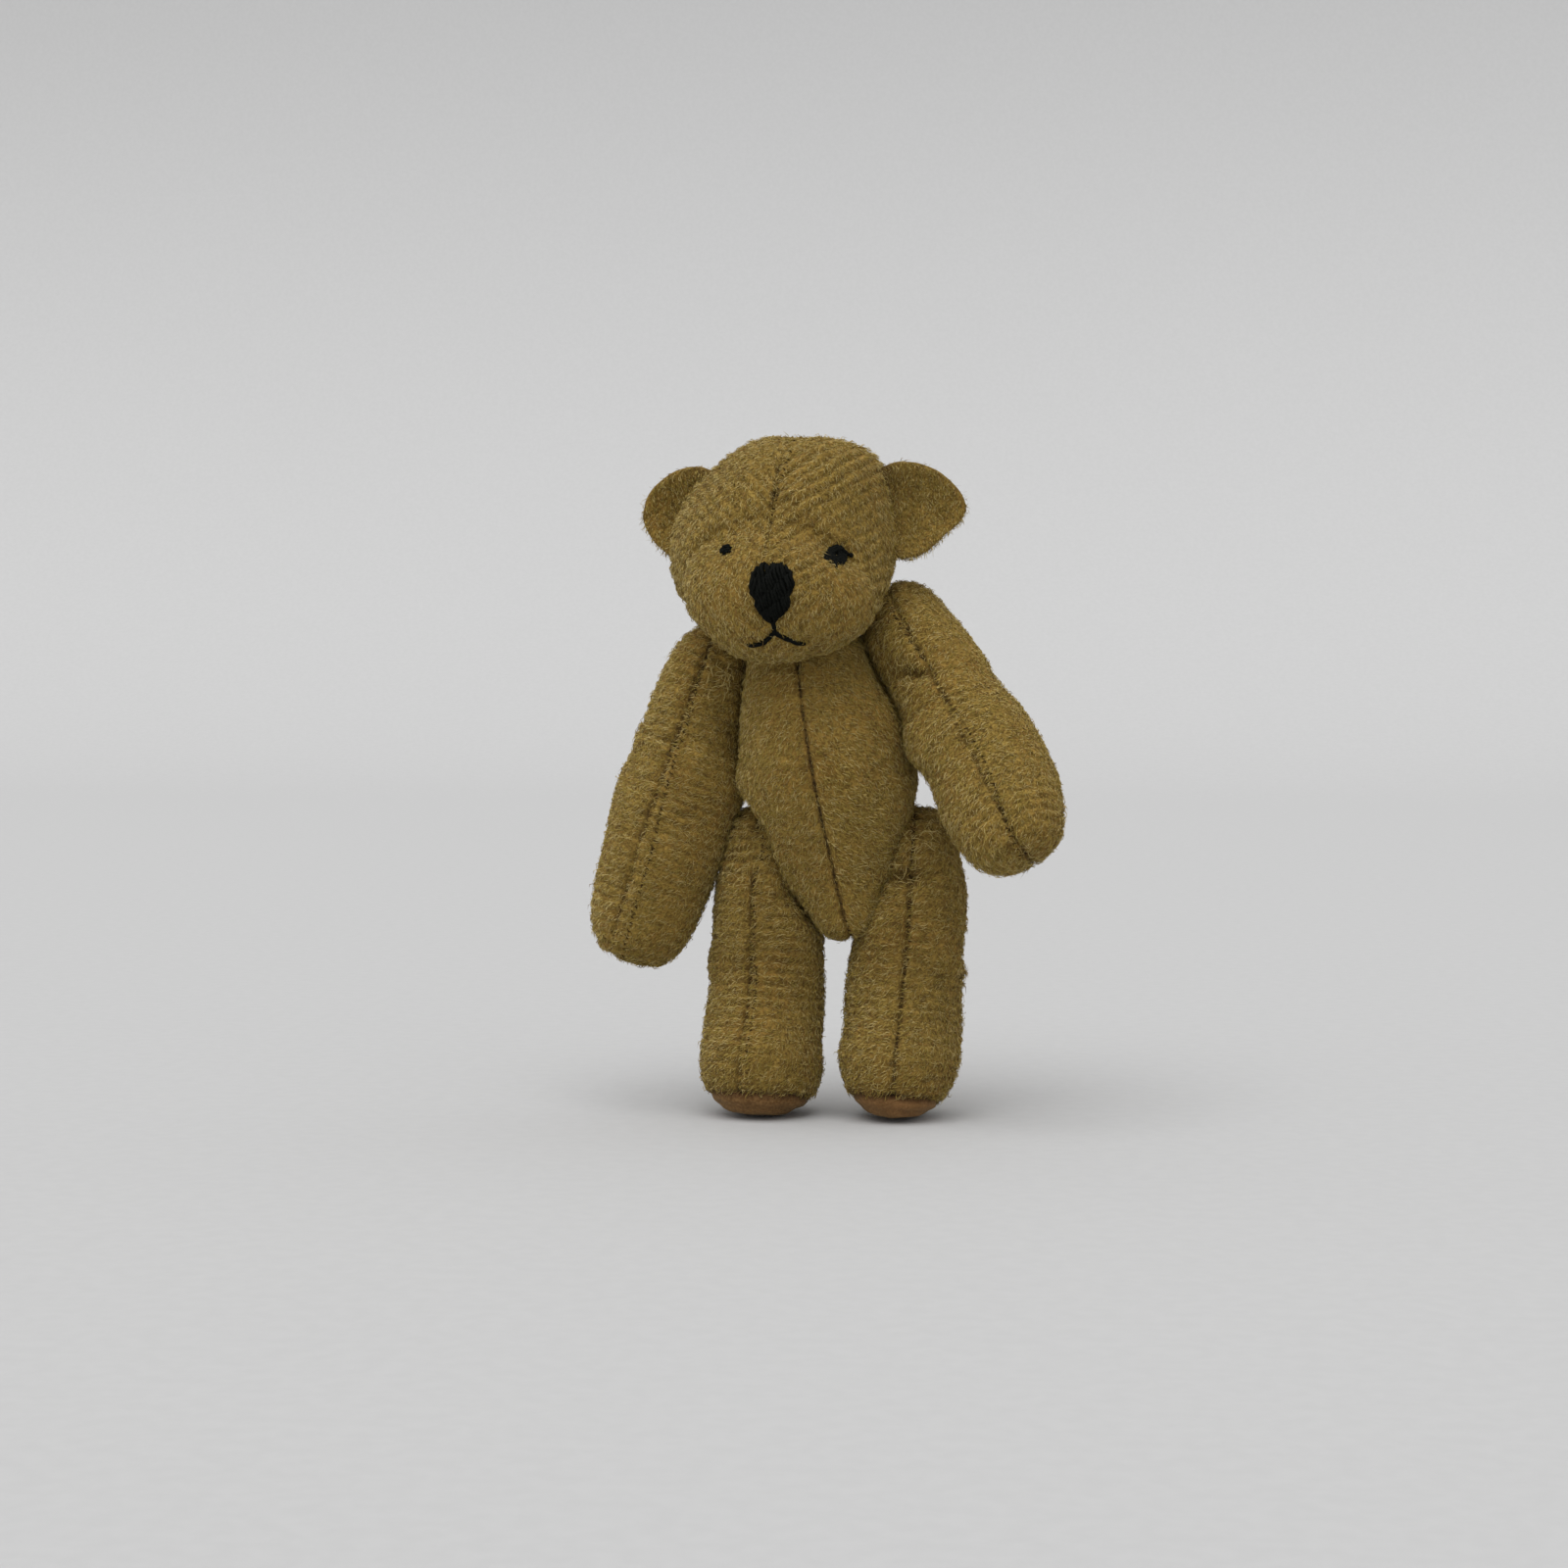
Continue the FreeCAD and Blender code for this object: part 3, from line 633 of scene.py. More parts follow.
    def blend_rows(self, low, high, passes):
        """Evens the rows between two heights, along the part only."""
        for _ in range(passes):
            height = self.grid[1:-1, :, 2].mean(1)
            inside = ((height > low) & (height < high))[:, None, None]
            even = (self.grid[:-2] + self.grid[2:]) / 2
            self.grid[1:-1] += np.where(inside, (even - self.grid[1:-1]) * RELAX_PULL, 0)

    def taper(self, start, end, factor):
        """Draws the rows in sideways, from none at one height to the factor at another."""
        for row in self.grid[1:]:
            centre = row.mean(0)
            share = np.clip((row[:, 2] - start) / (end - start), 0, 1)
            row[:, 0] = centre[0] + (row[:, 0] - centre[0]) * (1 + (factor - 1) * share)

    def press(self, joint, reach):
        """Flattens the part against its neighbour round a joint's pin.

        It stops a hair off the joint's plane.
        """
        pin = joint_named(joint)
        middle = np.array(pin["pos_m"]) / MM
        axis = np.array(pin["axis"])
        offset = self.grid - middle
        away = offset @ axis
        side = np.sign(away[np.linalg.norm(offset, axis=-1) < reach].mean())
        from_pin = np.linalg.norm(offset - away[..., None] * axis, axis=-1)
        near = np.clip(SEAT_EDGE - from_pin / reach, 0, 1) ** SEAT_FALL
        share = near * (np.abs(away) < SEAT_DEPTH)
        target = side * CONTACT_GAP
        self.grid = self.grid + ((target - away) * share)[..., None] * axis

    def normals(self):
        """Outward directions of the grid."""
        out = self.slopes()
        out[0] = unit(out[1].mean(0))
        out[-1] = unit(out[-2].mean(0))
        return out if ((self.grid - self.middle) * out).sum() > 0 else -out


# ---------------- cloth

SIM_SCALE = 20.0         # the cloth solver works on a bear this many times larger
SIM_FRAMES = 20
SIM_QUALITY = 5
SIM_MASS = 0.3
SIM_STIFFNESS = 20
SIM_BENDING = 0.2
SIM_PRESSURE = 4.0
SIM_INSET = 0.25         # the skin starts this much smaller, because it swells
SEAM_SHRINK = 0.16       # share by which a drawn seam shortens
MOST_MOVE = 0.55         # farthest that a point may move


def solve_cloth(points, faces, drawn_points):
    """Where Blender's cloth solver takes a closed skin blown up from inside."""
    mesh = bpy.data.meshes.new("cloth")
    mesh.from_pydata((points * MM * SIM_SCALE).tolist(), [], faces)
    skin = bpy.data.objects.new("cloth", mesh)
    bpy.context.collection.objects.link(skin)
    skin.vertex_groups.new(name="drawn").add(drawn_points, 1.0, "REPLACE")
    cloth = skin.modifiers.new("cloth", "CLOTH")
    cloth.settings.quality = SIM_QUALITY
    cloth.settings.mass = SIM_MASS
    cloth.settings.tension_stiffness = SIM_STIFFNESS
    cloth.settings.compression_stiffness = SIM_STIFFNESS
    cloth.settings.bending_stiffness = SIM_BENDING
    cloth.settings.use_pressure = True
    cloth.settings.uniform_pressure_force = SIM_PRESSURE
    cloth.settings.vertex_group_shrink = "drawn"
    cloth.settings.shrink_max = SEAM_SHRINK
    cloth.settings.effector_weights.gravity = 0
    cloth.point_cache.frame_start = 1
    cloth.point_cache.frame_end = SIM_FRAMES
    scene = bpy.context.scene
    for step in range(1, SIM_FRAMES + 1):
        scene.frame_set(step)
    solved = skin.evaluated_get(bpy.context.evaluated_depsgraph_get())
    found = np.empty(len(points) * 3)
    solved.data.vertices.foreach_get("co", found)
    bpy.data.objects.remove(skin)
    scene.frame_set(1)
    return found.reshape(-1, 3) / MM / SIM_SCALE


def inflate(part):
    """Blows the felt up like a stuffed skin whose seams are drawn tight, and keeps that shape.

    The solver gets every second row and column, and the rest move with their neighbours.
    """
    fine_rows = len(part.grid)
    taken = [*range(0, fine_rows - 1, 2), fine_rows - 1]
    held = part.grid[taken][:, ::2]
    rows, columns = held.shape[:2]
    start = held - part.normals()[taken][:, ::2] * SIM_INSET
    used, faces = renumber(grid_faces(rows, columns, 0, columns, 0, rows - 1))
    points = start.reshape(-1, 3)[used]
    seam = [0, len(points) - 1]
    for row in range(1, rows - 1):
        seam += [1 + (row - 1) * columns, 1 + (row - 1) * columns + columns // 2]
    found = solve_cloth(points, faces, seam)
    grid = np.empty_like(held)
    grid[0], grid[-1] = found[0], found[-1]
    grid[1:-1] = found[1:-1].reshape(rows - 2, columns, 3)
    move = grid - held
    move -= move.reshape(-1, 3).mean(0)
    far = np.linalg.norm(move, axis=-1, keepdims=True)
    move = move * np.minimum(1, MOST_MOVE / np.maximum(far, 1e-9))
    between = (move + np.roll(move, -1, 1)) / 2
    wide = np.stack([move, between], 2).reshape(rows, columns * 2, 3)
    place = np.interp(np.arange(fine_rows), taken, np.arange(rows))
    low = np.minimum(place.astype(int), rows - 2)
    share = (place - low)[:, None, None]
    part.grid = part.grid + wide[low] * (1 - share) + wide[low + 1] * share


# ---------------- felt surface detail

STITCH_PITCH = 1.5
SEAM_DEPTH = 0.55
SEAM_WIDTH = 0.32
RIB_PITCH = 1.3          # the felt's ribs
RIB_DEPTH = 0.10
RIB_WOBBLE = 0.8         # radians
WOBBLE_SIZE = 2.0
PULL_MEAN, PULL_SPREAD, PULL_SIZE = 0.75, 0.35, 3.0      # how tightly a seam is drawn
GROOVE_LIMITS = (0.35, 1.2)
PUCKER_DEPTH = 0.11
PUCKER_REACH = 1.5
PUCKER_WOBBLE = 0.9      # radians
PUCKER_LIMITS = (0, 1.3)
WEAR_MEAN, WEAR_SPREAD, WEAR_SIZE = 0.65, 0.4, 6.0       # where the ribs are rubbed flat
WEAR_LIMITS = (0.2, 1.2)
DENTS = ((0.07, 4.5), (0.03, 1.1))                       # (depth, size) of two layers
PAINTED_LINE_WIDTH = 0.24        # painted shade along a seam's groove
PAINTED_LINE_MEAN, PAINTED_LINE_SPREAD, PAINTED_LINE_SIZE = 0.55, 0.5, 1.0
TICK_PAINTED_SHADE = 0.20        # painted shade in the creases between puckers
TICK_REACH = 0.6
# painted shade in the ribs' valleys
VALLEY_PAINTED_SHADE = 0.25
SOLE_ROWS = 20           # rows of the grid that are sole
SOLE_EDGE_DEPTH = 0.22
SOLE_EDGE_ROWS = 1.3
# painted shade in the groove round the sole's edge
SOLE_EDGE_PAINTED_SHADE = 0.6


def sew(part, rib_way, seed, pinch, ribs):
    """Draws the seams in, puckers the felt beside them and raises its ribs; sets painted shade in the seam
    grooves, between the puckers, in the rib valleys and in dimples, and painted highlight on the rib crests.

    pinch is 1 where a seam is drawn in fully and 0 where it can't be seen.
    """
    out = part.normals()
    place = part.local(part.grid)
    across = np.abs(place[..., 0])
    run = np.zeros(part.grid.shape[:2])
    run[1:] = np.cumsum(np.linalg.norm(np.diff(part.grid, axis=0), axis=-1), axis=0)
    wobble = lumps(part.grid, WOBBLE_SIZE, seed)
    pull = PULL_MEAN + PULL_SPREAD * lumps(part.grid, PULL_SIZE, seed + 1)
    groove = SEAM_DEPTH * bell(across, SEAM_WIDTH) * np.clip(pull, *GROOVE_LIMITS)
    crease = np.sin(math.pi * run / STITCH_PITCH + PUCKER_WOBBLE * wobble) ** 2
    puckers = PUCKER_DEPTH * np.exp(-across / PUCKER_REACH) * crease * np.clip(pull, *PUCKER_LIMITS)
    phase = 2 * math.pi * (place * rib_way(place)).sum(-1) / RIB_PITCH
    worn = np.clip(WEAR_MEAN + WEAR_SPREAD * lumps(part.grid, WEAR_SIZE, seed + 2), *WEAR_LIMITS)
    rib = RIB_DEPTH * ribs * np.cos(phase + RIB_WOBBLE * wobble) * worn
    rise = rib - pinch * (groove + puckers)
    for layer, (depth, size) in enumerate(DENTS):
        rise = rise + depth * lumps(part.grid, size, seed + 3 + layer)
    rise[0] = rise[1].mean()
    rise[-1] = rise[-2].mean()
    part.grid = part.grid + out * rise[..., None]
    # painted shade: a broken dark line down each seam's groove
    broken = np.clip(PAINTED_LINE_MEAN + PAINTED_LINE_SPREAD * lumps(part.grid, PAINTED_LINE_SIZE, seed + 5), 0, 1)
    line = bell(across, PAINTED_LINE_WIDTH) * broken
    # painted shade in the creases between the puckers
    tick_painted_shade = TICK_PAINTED_SHADE * np.exp(-across / TICK_REACH) * crease
    # painted shade in the ribs' valleys
    valley_painted_shade = VALLEY_PAINTED_SHADE * np.clip(-rib / RIB_DEPTH, 0, 1)
    part.shade = np.clip(pinch * (line + tick_painted_shade) + valley_painted_shade + part.painted_dimple_shade, 0, 1)
    # painted highlight: rib crests get more pale hairs
    part.painted_highlight = np.clip(rib / RIB_DEPTH, 0, 1)
    part.run = run


def closed_shell(points, inward, quads, thickness):
    """Gives a sheet of quads a thickness and closes it round its open edge."""
    used, outer = renumber(quads)
    count = len(used)
    inner = [tuple(i + count for i in reversed(quad)) for quad in outer]
    edges = {(a, b): True for quad in outer for a, b in zip(quad, quad[1:] + quad[:1])}
    rim = [(b, a, a + count, b + count) for a, b in edges if (b, a) not in edges]
    both = np.concatenate([points[used], points[used] + inward[used] * thickness])
    return both, outer + inner + rim, used


def panel(name, part, first, last, low, high, material, node):
    """One sewn piece of felt, its seam edges turned in."""
    out = part.normals().reshape(-1, 3)
    points = part.grid.reshape(-1, 3)
    quads = part.faces(first, last, low, high)
    both, faces, used = closed_shell(points, -out, quads, FELT)
    # painted shade, the same on both faces of the shell
    shade = part.shade.reshape(-1)[used]
    thing = add_mesh(name, both, faces, material, shade=np.concatenate([shade, shade]))
    dress(thing, part.body, node)


HAIRS_PER_MM2 = 16.0
HAIR_MOST = 19000        # on one piece, which keeps its faces under 200,000
HAIR_TURN = 0.9          # spreads below are standard deviations; this one is in radians
HAIR_CURL = 0.38
HAIR_LENGTHS = (0.55, 1.35)
HAIR_LIFT_SHAPE, HAIR_LIFT_SIZE = 2.0, 0.045
HAIR_RADIUS = (0.0288, 0.0486)
HAIR_ROOT_DEPTH = 0.08
HAIR_SIDES = 3
STRAW, DARKEST = 0, len(NAP) - 1
CREST_PAINTED_HIGHLIGHT = 0.35       # share of hairs on a rib's crest that turn pale, a painted highlight
PAINTED_SHADE_BROWN = 0.75        # share of hairs in painted shade that turn brown


def nap(name, part, first, last, low, high, flow, seed, length, density=1.0):
    """Short curly wool hairs spread evenly over part of the felt."""
    draw = np.random.default_rng(seed)
    flat = part.grid.reshape(-1, 3)
    out = part.normals().reshape(-1, 3)
    quads = np.array([q if len(q) == 4 else (*q, q[2])
                      for q in part.faces(first, last, low, high)])
    a, b, c, d = (flat[quads[:, i]] for i in range(4))
    area = np.linalg.norm(np.cross(c - a, d - b), axis=1) / 2
    count = min(HAIR_MOST, int(area.sum() * HAIRS_PER_MM2 * density))
    pick = draw.choice(len(quads), count, p=area / area.sum())
    u, v = draw.random((2, count, 1))
    root = (a[pick] * (1 - u) * (1 - v) + b[pick] * (1 - u) * v
            + c[pick] * u * v + d[pick] * u * (1 - v))
    up = unit(out[quads[pick]].mean(1))
    # painted shade under each root
    painted_dark = part.shade.reshape(-1)[quads[pick]].mean(1)
    # painted highlight on the rib crests under each root
    light = part.painted_highlight.reshape(-1)[quads[pick]].mean(1)
    hairs(name, part.body, root, up, flow(part, root), painted_dark, light, draw, length)


def hairs(name, body, root, up, way, painted_dark, light, draw, length):
    """Hairs from roots: each rises a little, leans along way and curls to one side.

    A hair is a closed spike: a ring of corners at its root, one half way and a tip.
    """
    count = len(root)
    turn = draw.normal(0, HAIR_TURN, (count, 1))
    way = unit(way - up * (way * up).sum(1, keepdims=True))
    side = np.cross(up, way)
    lean = way * np.cos(turn) + side * np.sin(turn)
    bend = np.cross(up, lean) * draw.normal(0, HAIR_CURL, (count, 1))
    size = length * draw.uniform(*HAIR_LENGTHS, (count, 1))
    lift = draw.gamma(HAIR_LIFT_SHAPE, HAIR_LIFT_SIZE, (count, 1))
    base = root - up * HAIR_ROOT_DEPTH
    half_way = root + lean * size * 0.48 + up * (0.06 + lift * 1.2) + bend * size * 0.25
    tip = root + lean * size * 0.92 + up * (0.01 + lift) + bend * size * 1.15
    thick = draw.uniform(*HAIR_RADIUS, (count, 1))
    rings = []
    for knot in (base, half_way):
        for corner in range(HAIR_SIDES):
            angle = 2 * math.pi * corner / HAIR_SIDES
            rings.append(knot + thick * (side * math.cos(angle) + up * math.sin(angle)))
    corners = 2 * HAIR_SIDES + 1
    points = np.stack([*rings, tip], 1).reshape(-1, 3)
    one = [(2, 1, 0)]
    for i in range(HAIR_SIDES):
        j = (i + 1) % HAIR_SIDES
        upper_i, upper_j = i + HAIR_SIDES, j + HAIR_SIDES
        one += [(i, j, upper_j), (i, upper_j, upper_i), (upper_i, upper_j, corners - 1)]
    faces = (np.arange(count)[:, None, None] * corners + np.array(one)[None]).reshape(-1, 3)
    tones = draw.choice(len(NAP), count, p=NAP_SHARES)
    # painted highlight: hairs on rib crests turn pale
    tones[draw.random(count) < light * CREST_PAINTED_HIGHLIGHT] = STRAW
    # painted shade: hairs in seams, creases, valleys and dimples turn brown
    tones[draw.random(count) < painted_dark * PAINTED_SHADE_BROWN] = DARKEST
    thing = add_mesh(name, points, faces, *NAP, slots=np.repeat(tones, len(one)))
    dress(thing, body)


WHIP_RADIUS = 0.065
WHIP_LEAST_PINCH = 0.3   # no whip stitch shows where the seam is drawn in less
CORD_RADIUS = 0.10       # the run of thread under the whip stitches


def seam_stitches(part, seed, pinch, end):
    """Whip stitches over both seams, each a short thread half sunk in the groove."""
    draw = np.random.default_rng(seed)
    out = part.normals()
    threads = []
    for column in (0, part.columns // 2):
        run = part.run[:, column]
        line = part.grid[:, column]
        place = STITCH_PITCH
        while place < run[end - 3] - STITCH_PITCH / 2:
            i = int(np.searchsorted(run, place))
            along = unit(line[min(i + 2, end - 1)] - line[i - 2])
            normal = out[i, column]
            cross = np.cross(normal, along)
            slant = draw.normal(0.55, 0.2)
            half = draw.uniform(0.24, 0.40)
            way = unit(cross + along * slant)
            base = line[i] + normal * draw.uniform(0.02, 0.16)
            sunk = normal * 0.12
            ends = [base - way * half - sunk, base + normal * 0.08, base + way * half - sunk]
            place += STITCH_PITCH * draw.uniform(0.42, 0.75)
            if pinch[i, column] > WHIP_LEAST_PINCH:
                threads.append(tube(curve_through(ends, 7), WHIP_RADIUS, sides=5))
        under = np.arange(2, end - 2, 2)
        cord = line[under] - out[under, column] * CORD_RADIUS
        threads.append(tube(cord, CORD_RADIUS, sides=5))
    add_threads(f"{part.body}_whip_stitches", threads, BROWN, part.body,
                f"{part.body}_seam_stitches")


def stuffing(part, seed):
    """A lumpy core of wool inside the felt, drawn from every fourth row and column."""
    step, depth, lump_depth, lump_size = 4, 1.0, 0.15, 2.5
    rows = sorted({0, *range(2, len(part.grid) - 2, step), len(part.grid) - 1})
    uneven = np.abs(lumps(part.grid, lump_size, seed))
    core = part.grid - part.normals() * (depth + lump_depth * uneven)[..., None]
    core = core[rows][:, ::step]
    columns = core.shape[1]
    used, quads = renumber(grid_faces(len(rows), columns, 0, columns, 0, len(rows) - 1))
    thing = add_mesh(f"{part.body}_wool", core.reshape(-1, 3)[used], quads, STUFFING,
                     shade=np.zeros(len(used)))
    dress(thing, part.body, f"{part.body}_stuffing")


LOOSE_PER_PLACE = 9
LOOSE_SCATTER = 0.8
LOOSE_RADIUS = 0.035


def loose_threads(name, part, places, seed):
    """Fine curly fibres pulled loose from the felt near the given places."""
    draw = np.random.default_rng(seed)
    out = part.normals().reshape(-1, 3)
    skin = part.grid.reshape(-1, 3)
    threads = []
    for place in places:
        for _ in range(LOOSE_PER_PLACE):
            at = np.array(place) + draw.normal(0, LOOSE_SCATTER, 3)
            near = np.argmin(np.linalg.norm(skin - at, axis=1))
            root, up = skin[near], out[near]
            side = unit(np.cross(up, draw.normal(size=3)))
            span = side * draw.uniform(0.9, 1.9)
            rise = up * draw.uniform(0.15, 0.5)
            across = np.cross(up, side) * draw.normal(0, 0.5)
            arc = [root - up * 0.1, root + span * 0.3 + rise + across * 0.5,
                   root + span * 0.75 + rise + across, root + span + up * 0.05 + across * 0.2]
            threads.append(tube(curve_through(arc, 10), LOOSE_RADIUS, sides=4))
    add_threads(name, threads, NAP[STRAW], part.body)


# ---------------- building the felt parts

SHOULDER_SEAT, HIP_SEAT, NECK_SEAT, TORSO_NECK_SEAT = 4.2, 4.6, 5.5, 6.5


def level_ribs(place):
    """Ribs straight across a limb."""
    way = np.zeros_like(place)
    way[..., 2] = 1
    return way


def chevron_ribs(place):
    """Ribs that meet at the middle seam in a V."""
    sideways, upward = 0.64, 0.77
    way = np.zeros_like(place)
    way[..., 0] = -sideways * np.sign(place[..., 0])
    way[..., 2] = upward
    return way


def along_limb(part, root):
    """Hairs lie mostly round a limb and a little down it."""
    out = unit(root - part.middle)
    return np.cross(out, part.up) - part.up * 0.35


def away_from_seam(part, root):
    """Hairs fall outwards and down from the middle seam."""
    side = np.sign(part.local(root)[:, :1])
    return side * part.left * 0.8 - part.up * 0.75


def down(part, root):
    """Hairs fall straight down."""
    return np.tile(-part.up, (len(root), 1))


def cover(part, seats, sides, rib_way, flow, seed, sole_row=None, pinch=1.0, ribs=1.0,
          length=1.0, tone=0.0):
    """Sews a part's two panels, its stitches, its nap and its stuffing.

    tone above 0 paints light in by turning more hairs pale, and below 0 paints shade in by darkening the felt and
    its hairs.
    """
    inflate(part)
    for place, size, rise in part.folds:
        part.swell(place, size, rise)
    for joint, reach in seats.items():
        part.press(joint, reach)
    last_row = len(part.grid) - 1
    end = last_row if sole_row is None else sole_row
    every = np.ones(part.grid.shape[:2])
    row = np.arange(last_row + 1)[:, None]
    pinch = pinch * every * (row <= end)
    sew(part, rib_way, seed, pinch, ribs)
    # painted light and painted shade from tone
    part.painted_highlight = np.clip(part.painted_highlight + tone, 0, 1)
    part.shade = np.clip(part.shade - min(tone, 0), 0, 1)
    if sole_row is not None:
        # the sole's edge: a groove with painted shade in it
        edge = bell(row - sole_row, SOLE_EDGE_ROWS) * every
        part.grid = part.grid - part.normals() * (SOLE_EDGE_DEPTH * edge)[..., None]
        part.shade = np.clip(part.shade + SOLE_EDGE_PAINTED_SHADE * edge, 0, 1)
    half = part.columns // 2
    for index, side in enumerate(sides):
        first, last = (0, half) if index == 0 else (half, part.columns)
        panel(f"{part.body}_{side}_felt", part, first, last, 0, end, GOLD,
              f"{part.body}_{side}_panel")
        nap(f"{part.body}_{side}_nap", part, first, last, 0, end, flow, seed + 10 + index,
            length)
    if sole_row is not None:
        panel(f"{part.body}_sole_felt", part, 0, part.columns, sole_row, last_row, SOLE,
              f"{part.body}_sole")
    seam_stitches(part, seed + 20, pinch, end)
    stuffing(part, seed + 30)


def side_names(side):
    """A limb's two panels, in the order of its columns."""
    return ("outer", "inner") if side == "left" else ("inner", "outer")


def make_torso():
    """The torso, fuller on the bear's left."""
    part = Part("torso", cap=7.5)
    part.relax(20)
    part.lean(shift=(0.3, 0, -0.5), start=27.0, end=22.0)
    part.swell(place=(10.5, 3.0, 36.8), size=(3.5, 6.0, 4.0), rise=1.7)
    part.swell(place=(8.3, 2.0, 46.5), size=(3.0, 6.0, 4.5), rise=1.1)
    seats = {"neck": TORSO_NECK_SEAT}
    for side in SIDES:
        seats[f"{side}_shoulder"] = SHOULDER_SEAT
        seats[f"{side}_hip"] = HIP_SEAT
    cover(part, seats, ("left", "right"), chevron_ribs, away_from_seam, 100, ribs=0.5)


def make_arm(side, seed):
    """An arm, leaned and swelled to the photo's outline on its side."""
    part = Part(f"{side}_arm", cap=5.6)
    part.relax(16)
    if side == "right":
        part.lean(shift=(1.6, 0, -1.2), start=46.0, end=20.0)
        part.lean(shift=(0.8, 0, 0), start=55.0, end=46.0)
        part.lean(shift=(-0.8, 0, 0), start=33.0, end=22.0)
        part.swell(place=(-10.0, 3.0, 37.0), size=(3.0, 6.0, 4.0), rise=1.2)
    else:
        part.lean(shift=(-1.5, 0, 1.2), start=38.0, end=28.0)
        part.lean(shift=(0.9, 0, 0), start=53.0, end=46.0)
        part.lean(shift=(-0.9, 0, 0), start=41.0, end=34.0)
        part.lean(shift=(-1.3, 0, 0.8), start=52.0, end=58.0)
        part.swell(place=(10.8, -1.5, 41.0), size=(3.2, 8.0, 6.0), rise=1.9)
        # the sunken fold below the shoulder also gets painted shade
        part.folds = [((8.6, -1.5, 55.6), (2.6, 4.5, 3.0), 0.5),
                      ((10.6, -2.5, 51.9), (2.8, 4.0, 0.9), -1.4)]
    cover(part, {f"{side}_shoulder": SHOULDER_SEAT}, side_names(side), level_ribs, along_limb,
          seed, ribs=1.3)
    return part


def make_leg(side, seed):
    """A leg, its rows square to its run from the hip to the ankle and then to its foot."""
    ankle_height, foot_lean = 5.6, (0, -0.26, -1.0)
    ankle = middle_of(f"{side}_leg_sole")
    ankle[2] = ankle_height
    up = np.array(joint_named(f"{side}_hip")["pos_m"]) / MM - ankle
    part = Part(f"{side}_leg", up=up, cap=5.6, tail=(ankle, unit(np.array(foot_lean))))
    part.relax(80)
    if side == "right":
        part.lean(shift=(0.7, 0, 0), start=42.0, end=20.0)
        part.widen((1, 0, 0), heights=(11.0, 21.2, 26.0, 31.0), limits=(-0.6, -0.3, -3.4, -5.7))
        part.swell(place=(-13.6, 2.0, 13.0), size=(3.0, 6.0, 3.5), rise=0.7)
    else:
        part.widen((-1, 0, 0), heights=(11.0, 21.2, 26.0, 31.0), limits=(-2.0, -3.0, -5.9, -7.8))
        part.taper(start=7.0, end=0.5, factor=0.84)
    part.relax(8)
    part.blend_rows(low=7.0, high=20.0, passes=150)
    if side == "left":
        # the sunken fold at the hip also gets painted shade
        part.folds = [((11.5, 0.5, 32.0), (3.5, 3.0, 2.2), 0.7),
                      ((9.8, 0.5, 28.3), (2.6, 3.0, 0.8), -1.5)]
    # the legs get painted shade, tone below 0
    cover(part, {f"{side}_hip": HIP_SEAT}, side_names(side), level_ribs, along_limb, seed,
          sole_row=len(part.grid) - SOLE_ROWS, ribs=1.1, tone=-0.10)
    return part


def make_head():
    """The head: fuller cheeks, sunken eye sockets, its seam showing only on the forehead."""
    part = Part("head", up=(-0.07, 0.0, 1.0), cap=12.2, middle_lift=0.6)
    part.relax(30)
    middle = middle_of("head_stuffing")
    swellings = [        # (place from the head's middle, size, rise)
        ((10.5, -6.5, -7.0), (5.5, 7.0, 5.5), 3.2),
        ((-11.0, -1.0, -4.0), (5.0, 8.0, 5.0), 1.2),
        ((8.0, 0.0, 9.0), (5.0, 9.0, 4.0), 1.2),
        ((-8.5, -2.0, 8.0), (4.0, 8.0, 4.5), -0.4),
    ]
    # the sunken swelling also gets painted shade
    for place, size, rise in swellings:
        part.swell(middle + np.array(place), size, rise)
    part.lean(shift=(0.9, 0, 0), start=middle[2] + 2.0, end=middle[2] + 12.0)
    for side in SIDES:
        socket = eye_place(side) + np.array([0, 0, 0.6])
        # each eye socket also gets painted shade
        part.folds.append((socket, (2.3, 3.0, 1.5), -0.55))
    place = part.local(part.grid)
    in_front = place[..., 1] < -2
    muzzle = in_front / (1 + np.exp((place[..., 2] + 0.5) / 0.8))
    forehead = bell(place[..., 2] - 6.8, 3.2)
    pinch = np.where(in_front, 0.20 + 0.80 * forehead, 1.0) * (1 - muzzle)
    # the head gets painted light from above, tone above 0
    cover(part, {"neck": NECK_SEAT}, ("left", "right"), chevron_ribs, down, 500, pinch=pinch,
          ribs=1.7, length=0.9, tone=0.30)
    return part


# ---------------- ears

EAR_SHIFT = {"left": (0.8, 0, -0.8), "right": (1.4, 0, -1.1)}       # from the CAD ears
EAR_ROWS, EAR_COLUMNS = 26, 96
EAR_CUP = 2.3                                    # depth of the hollow in its front
EAR_RIM_SHIFT = 0.7
EAR_HALF_THICKNESS = 1.05
EAR_WIDTH, EAR_MIDDLE = 0.66, 0.52               # shares of the CAD ear's width
EAR_FLARE = 0.18                                 # taller on the side that is sewn on
LOW_CORNER = {"left": 0.18, "right": 0.04}       # how far its lower corner is drawn in
LOW_CORNER_TURN, LOW_CORNER_SPREAD = 1.75 * math.pi, 0.55
# painted shade along the ear's rim and at its root, where it meets the head
EAR_RIM_PAINTED_SHADE, EAR_RIM_WIDTH = 0.25, 0.08
EAR_ROOT_PAINTED_SHADE, EAR_PAINTED_SHADE_FALL, EAR_MOST_PAINTED_SHADE = 0.75, 0.16, 0.45
EAR_BACK_PAINTED_SHADE = 0.3                             # the back's root gets only this share of the painted shade


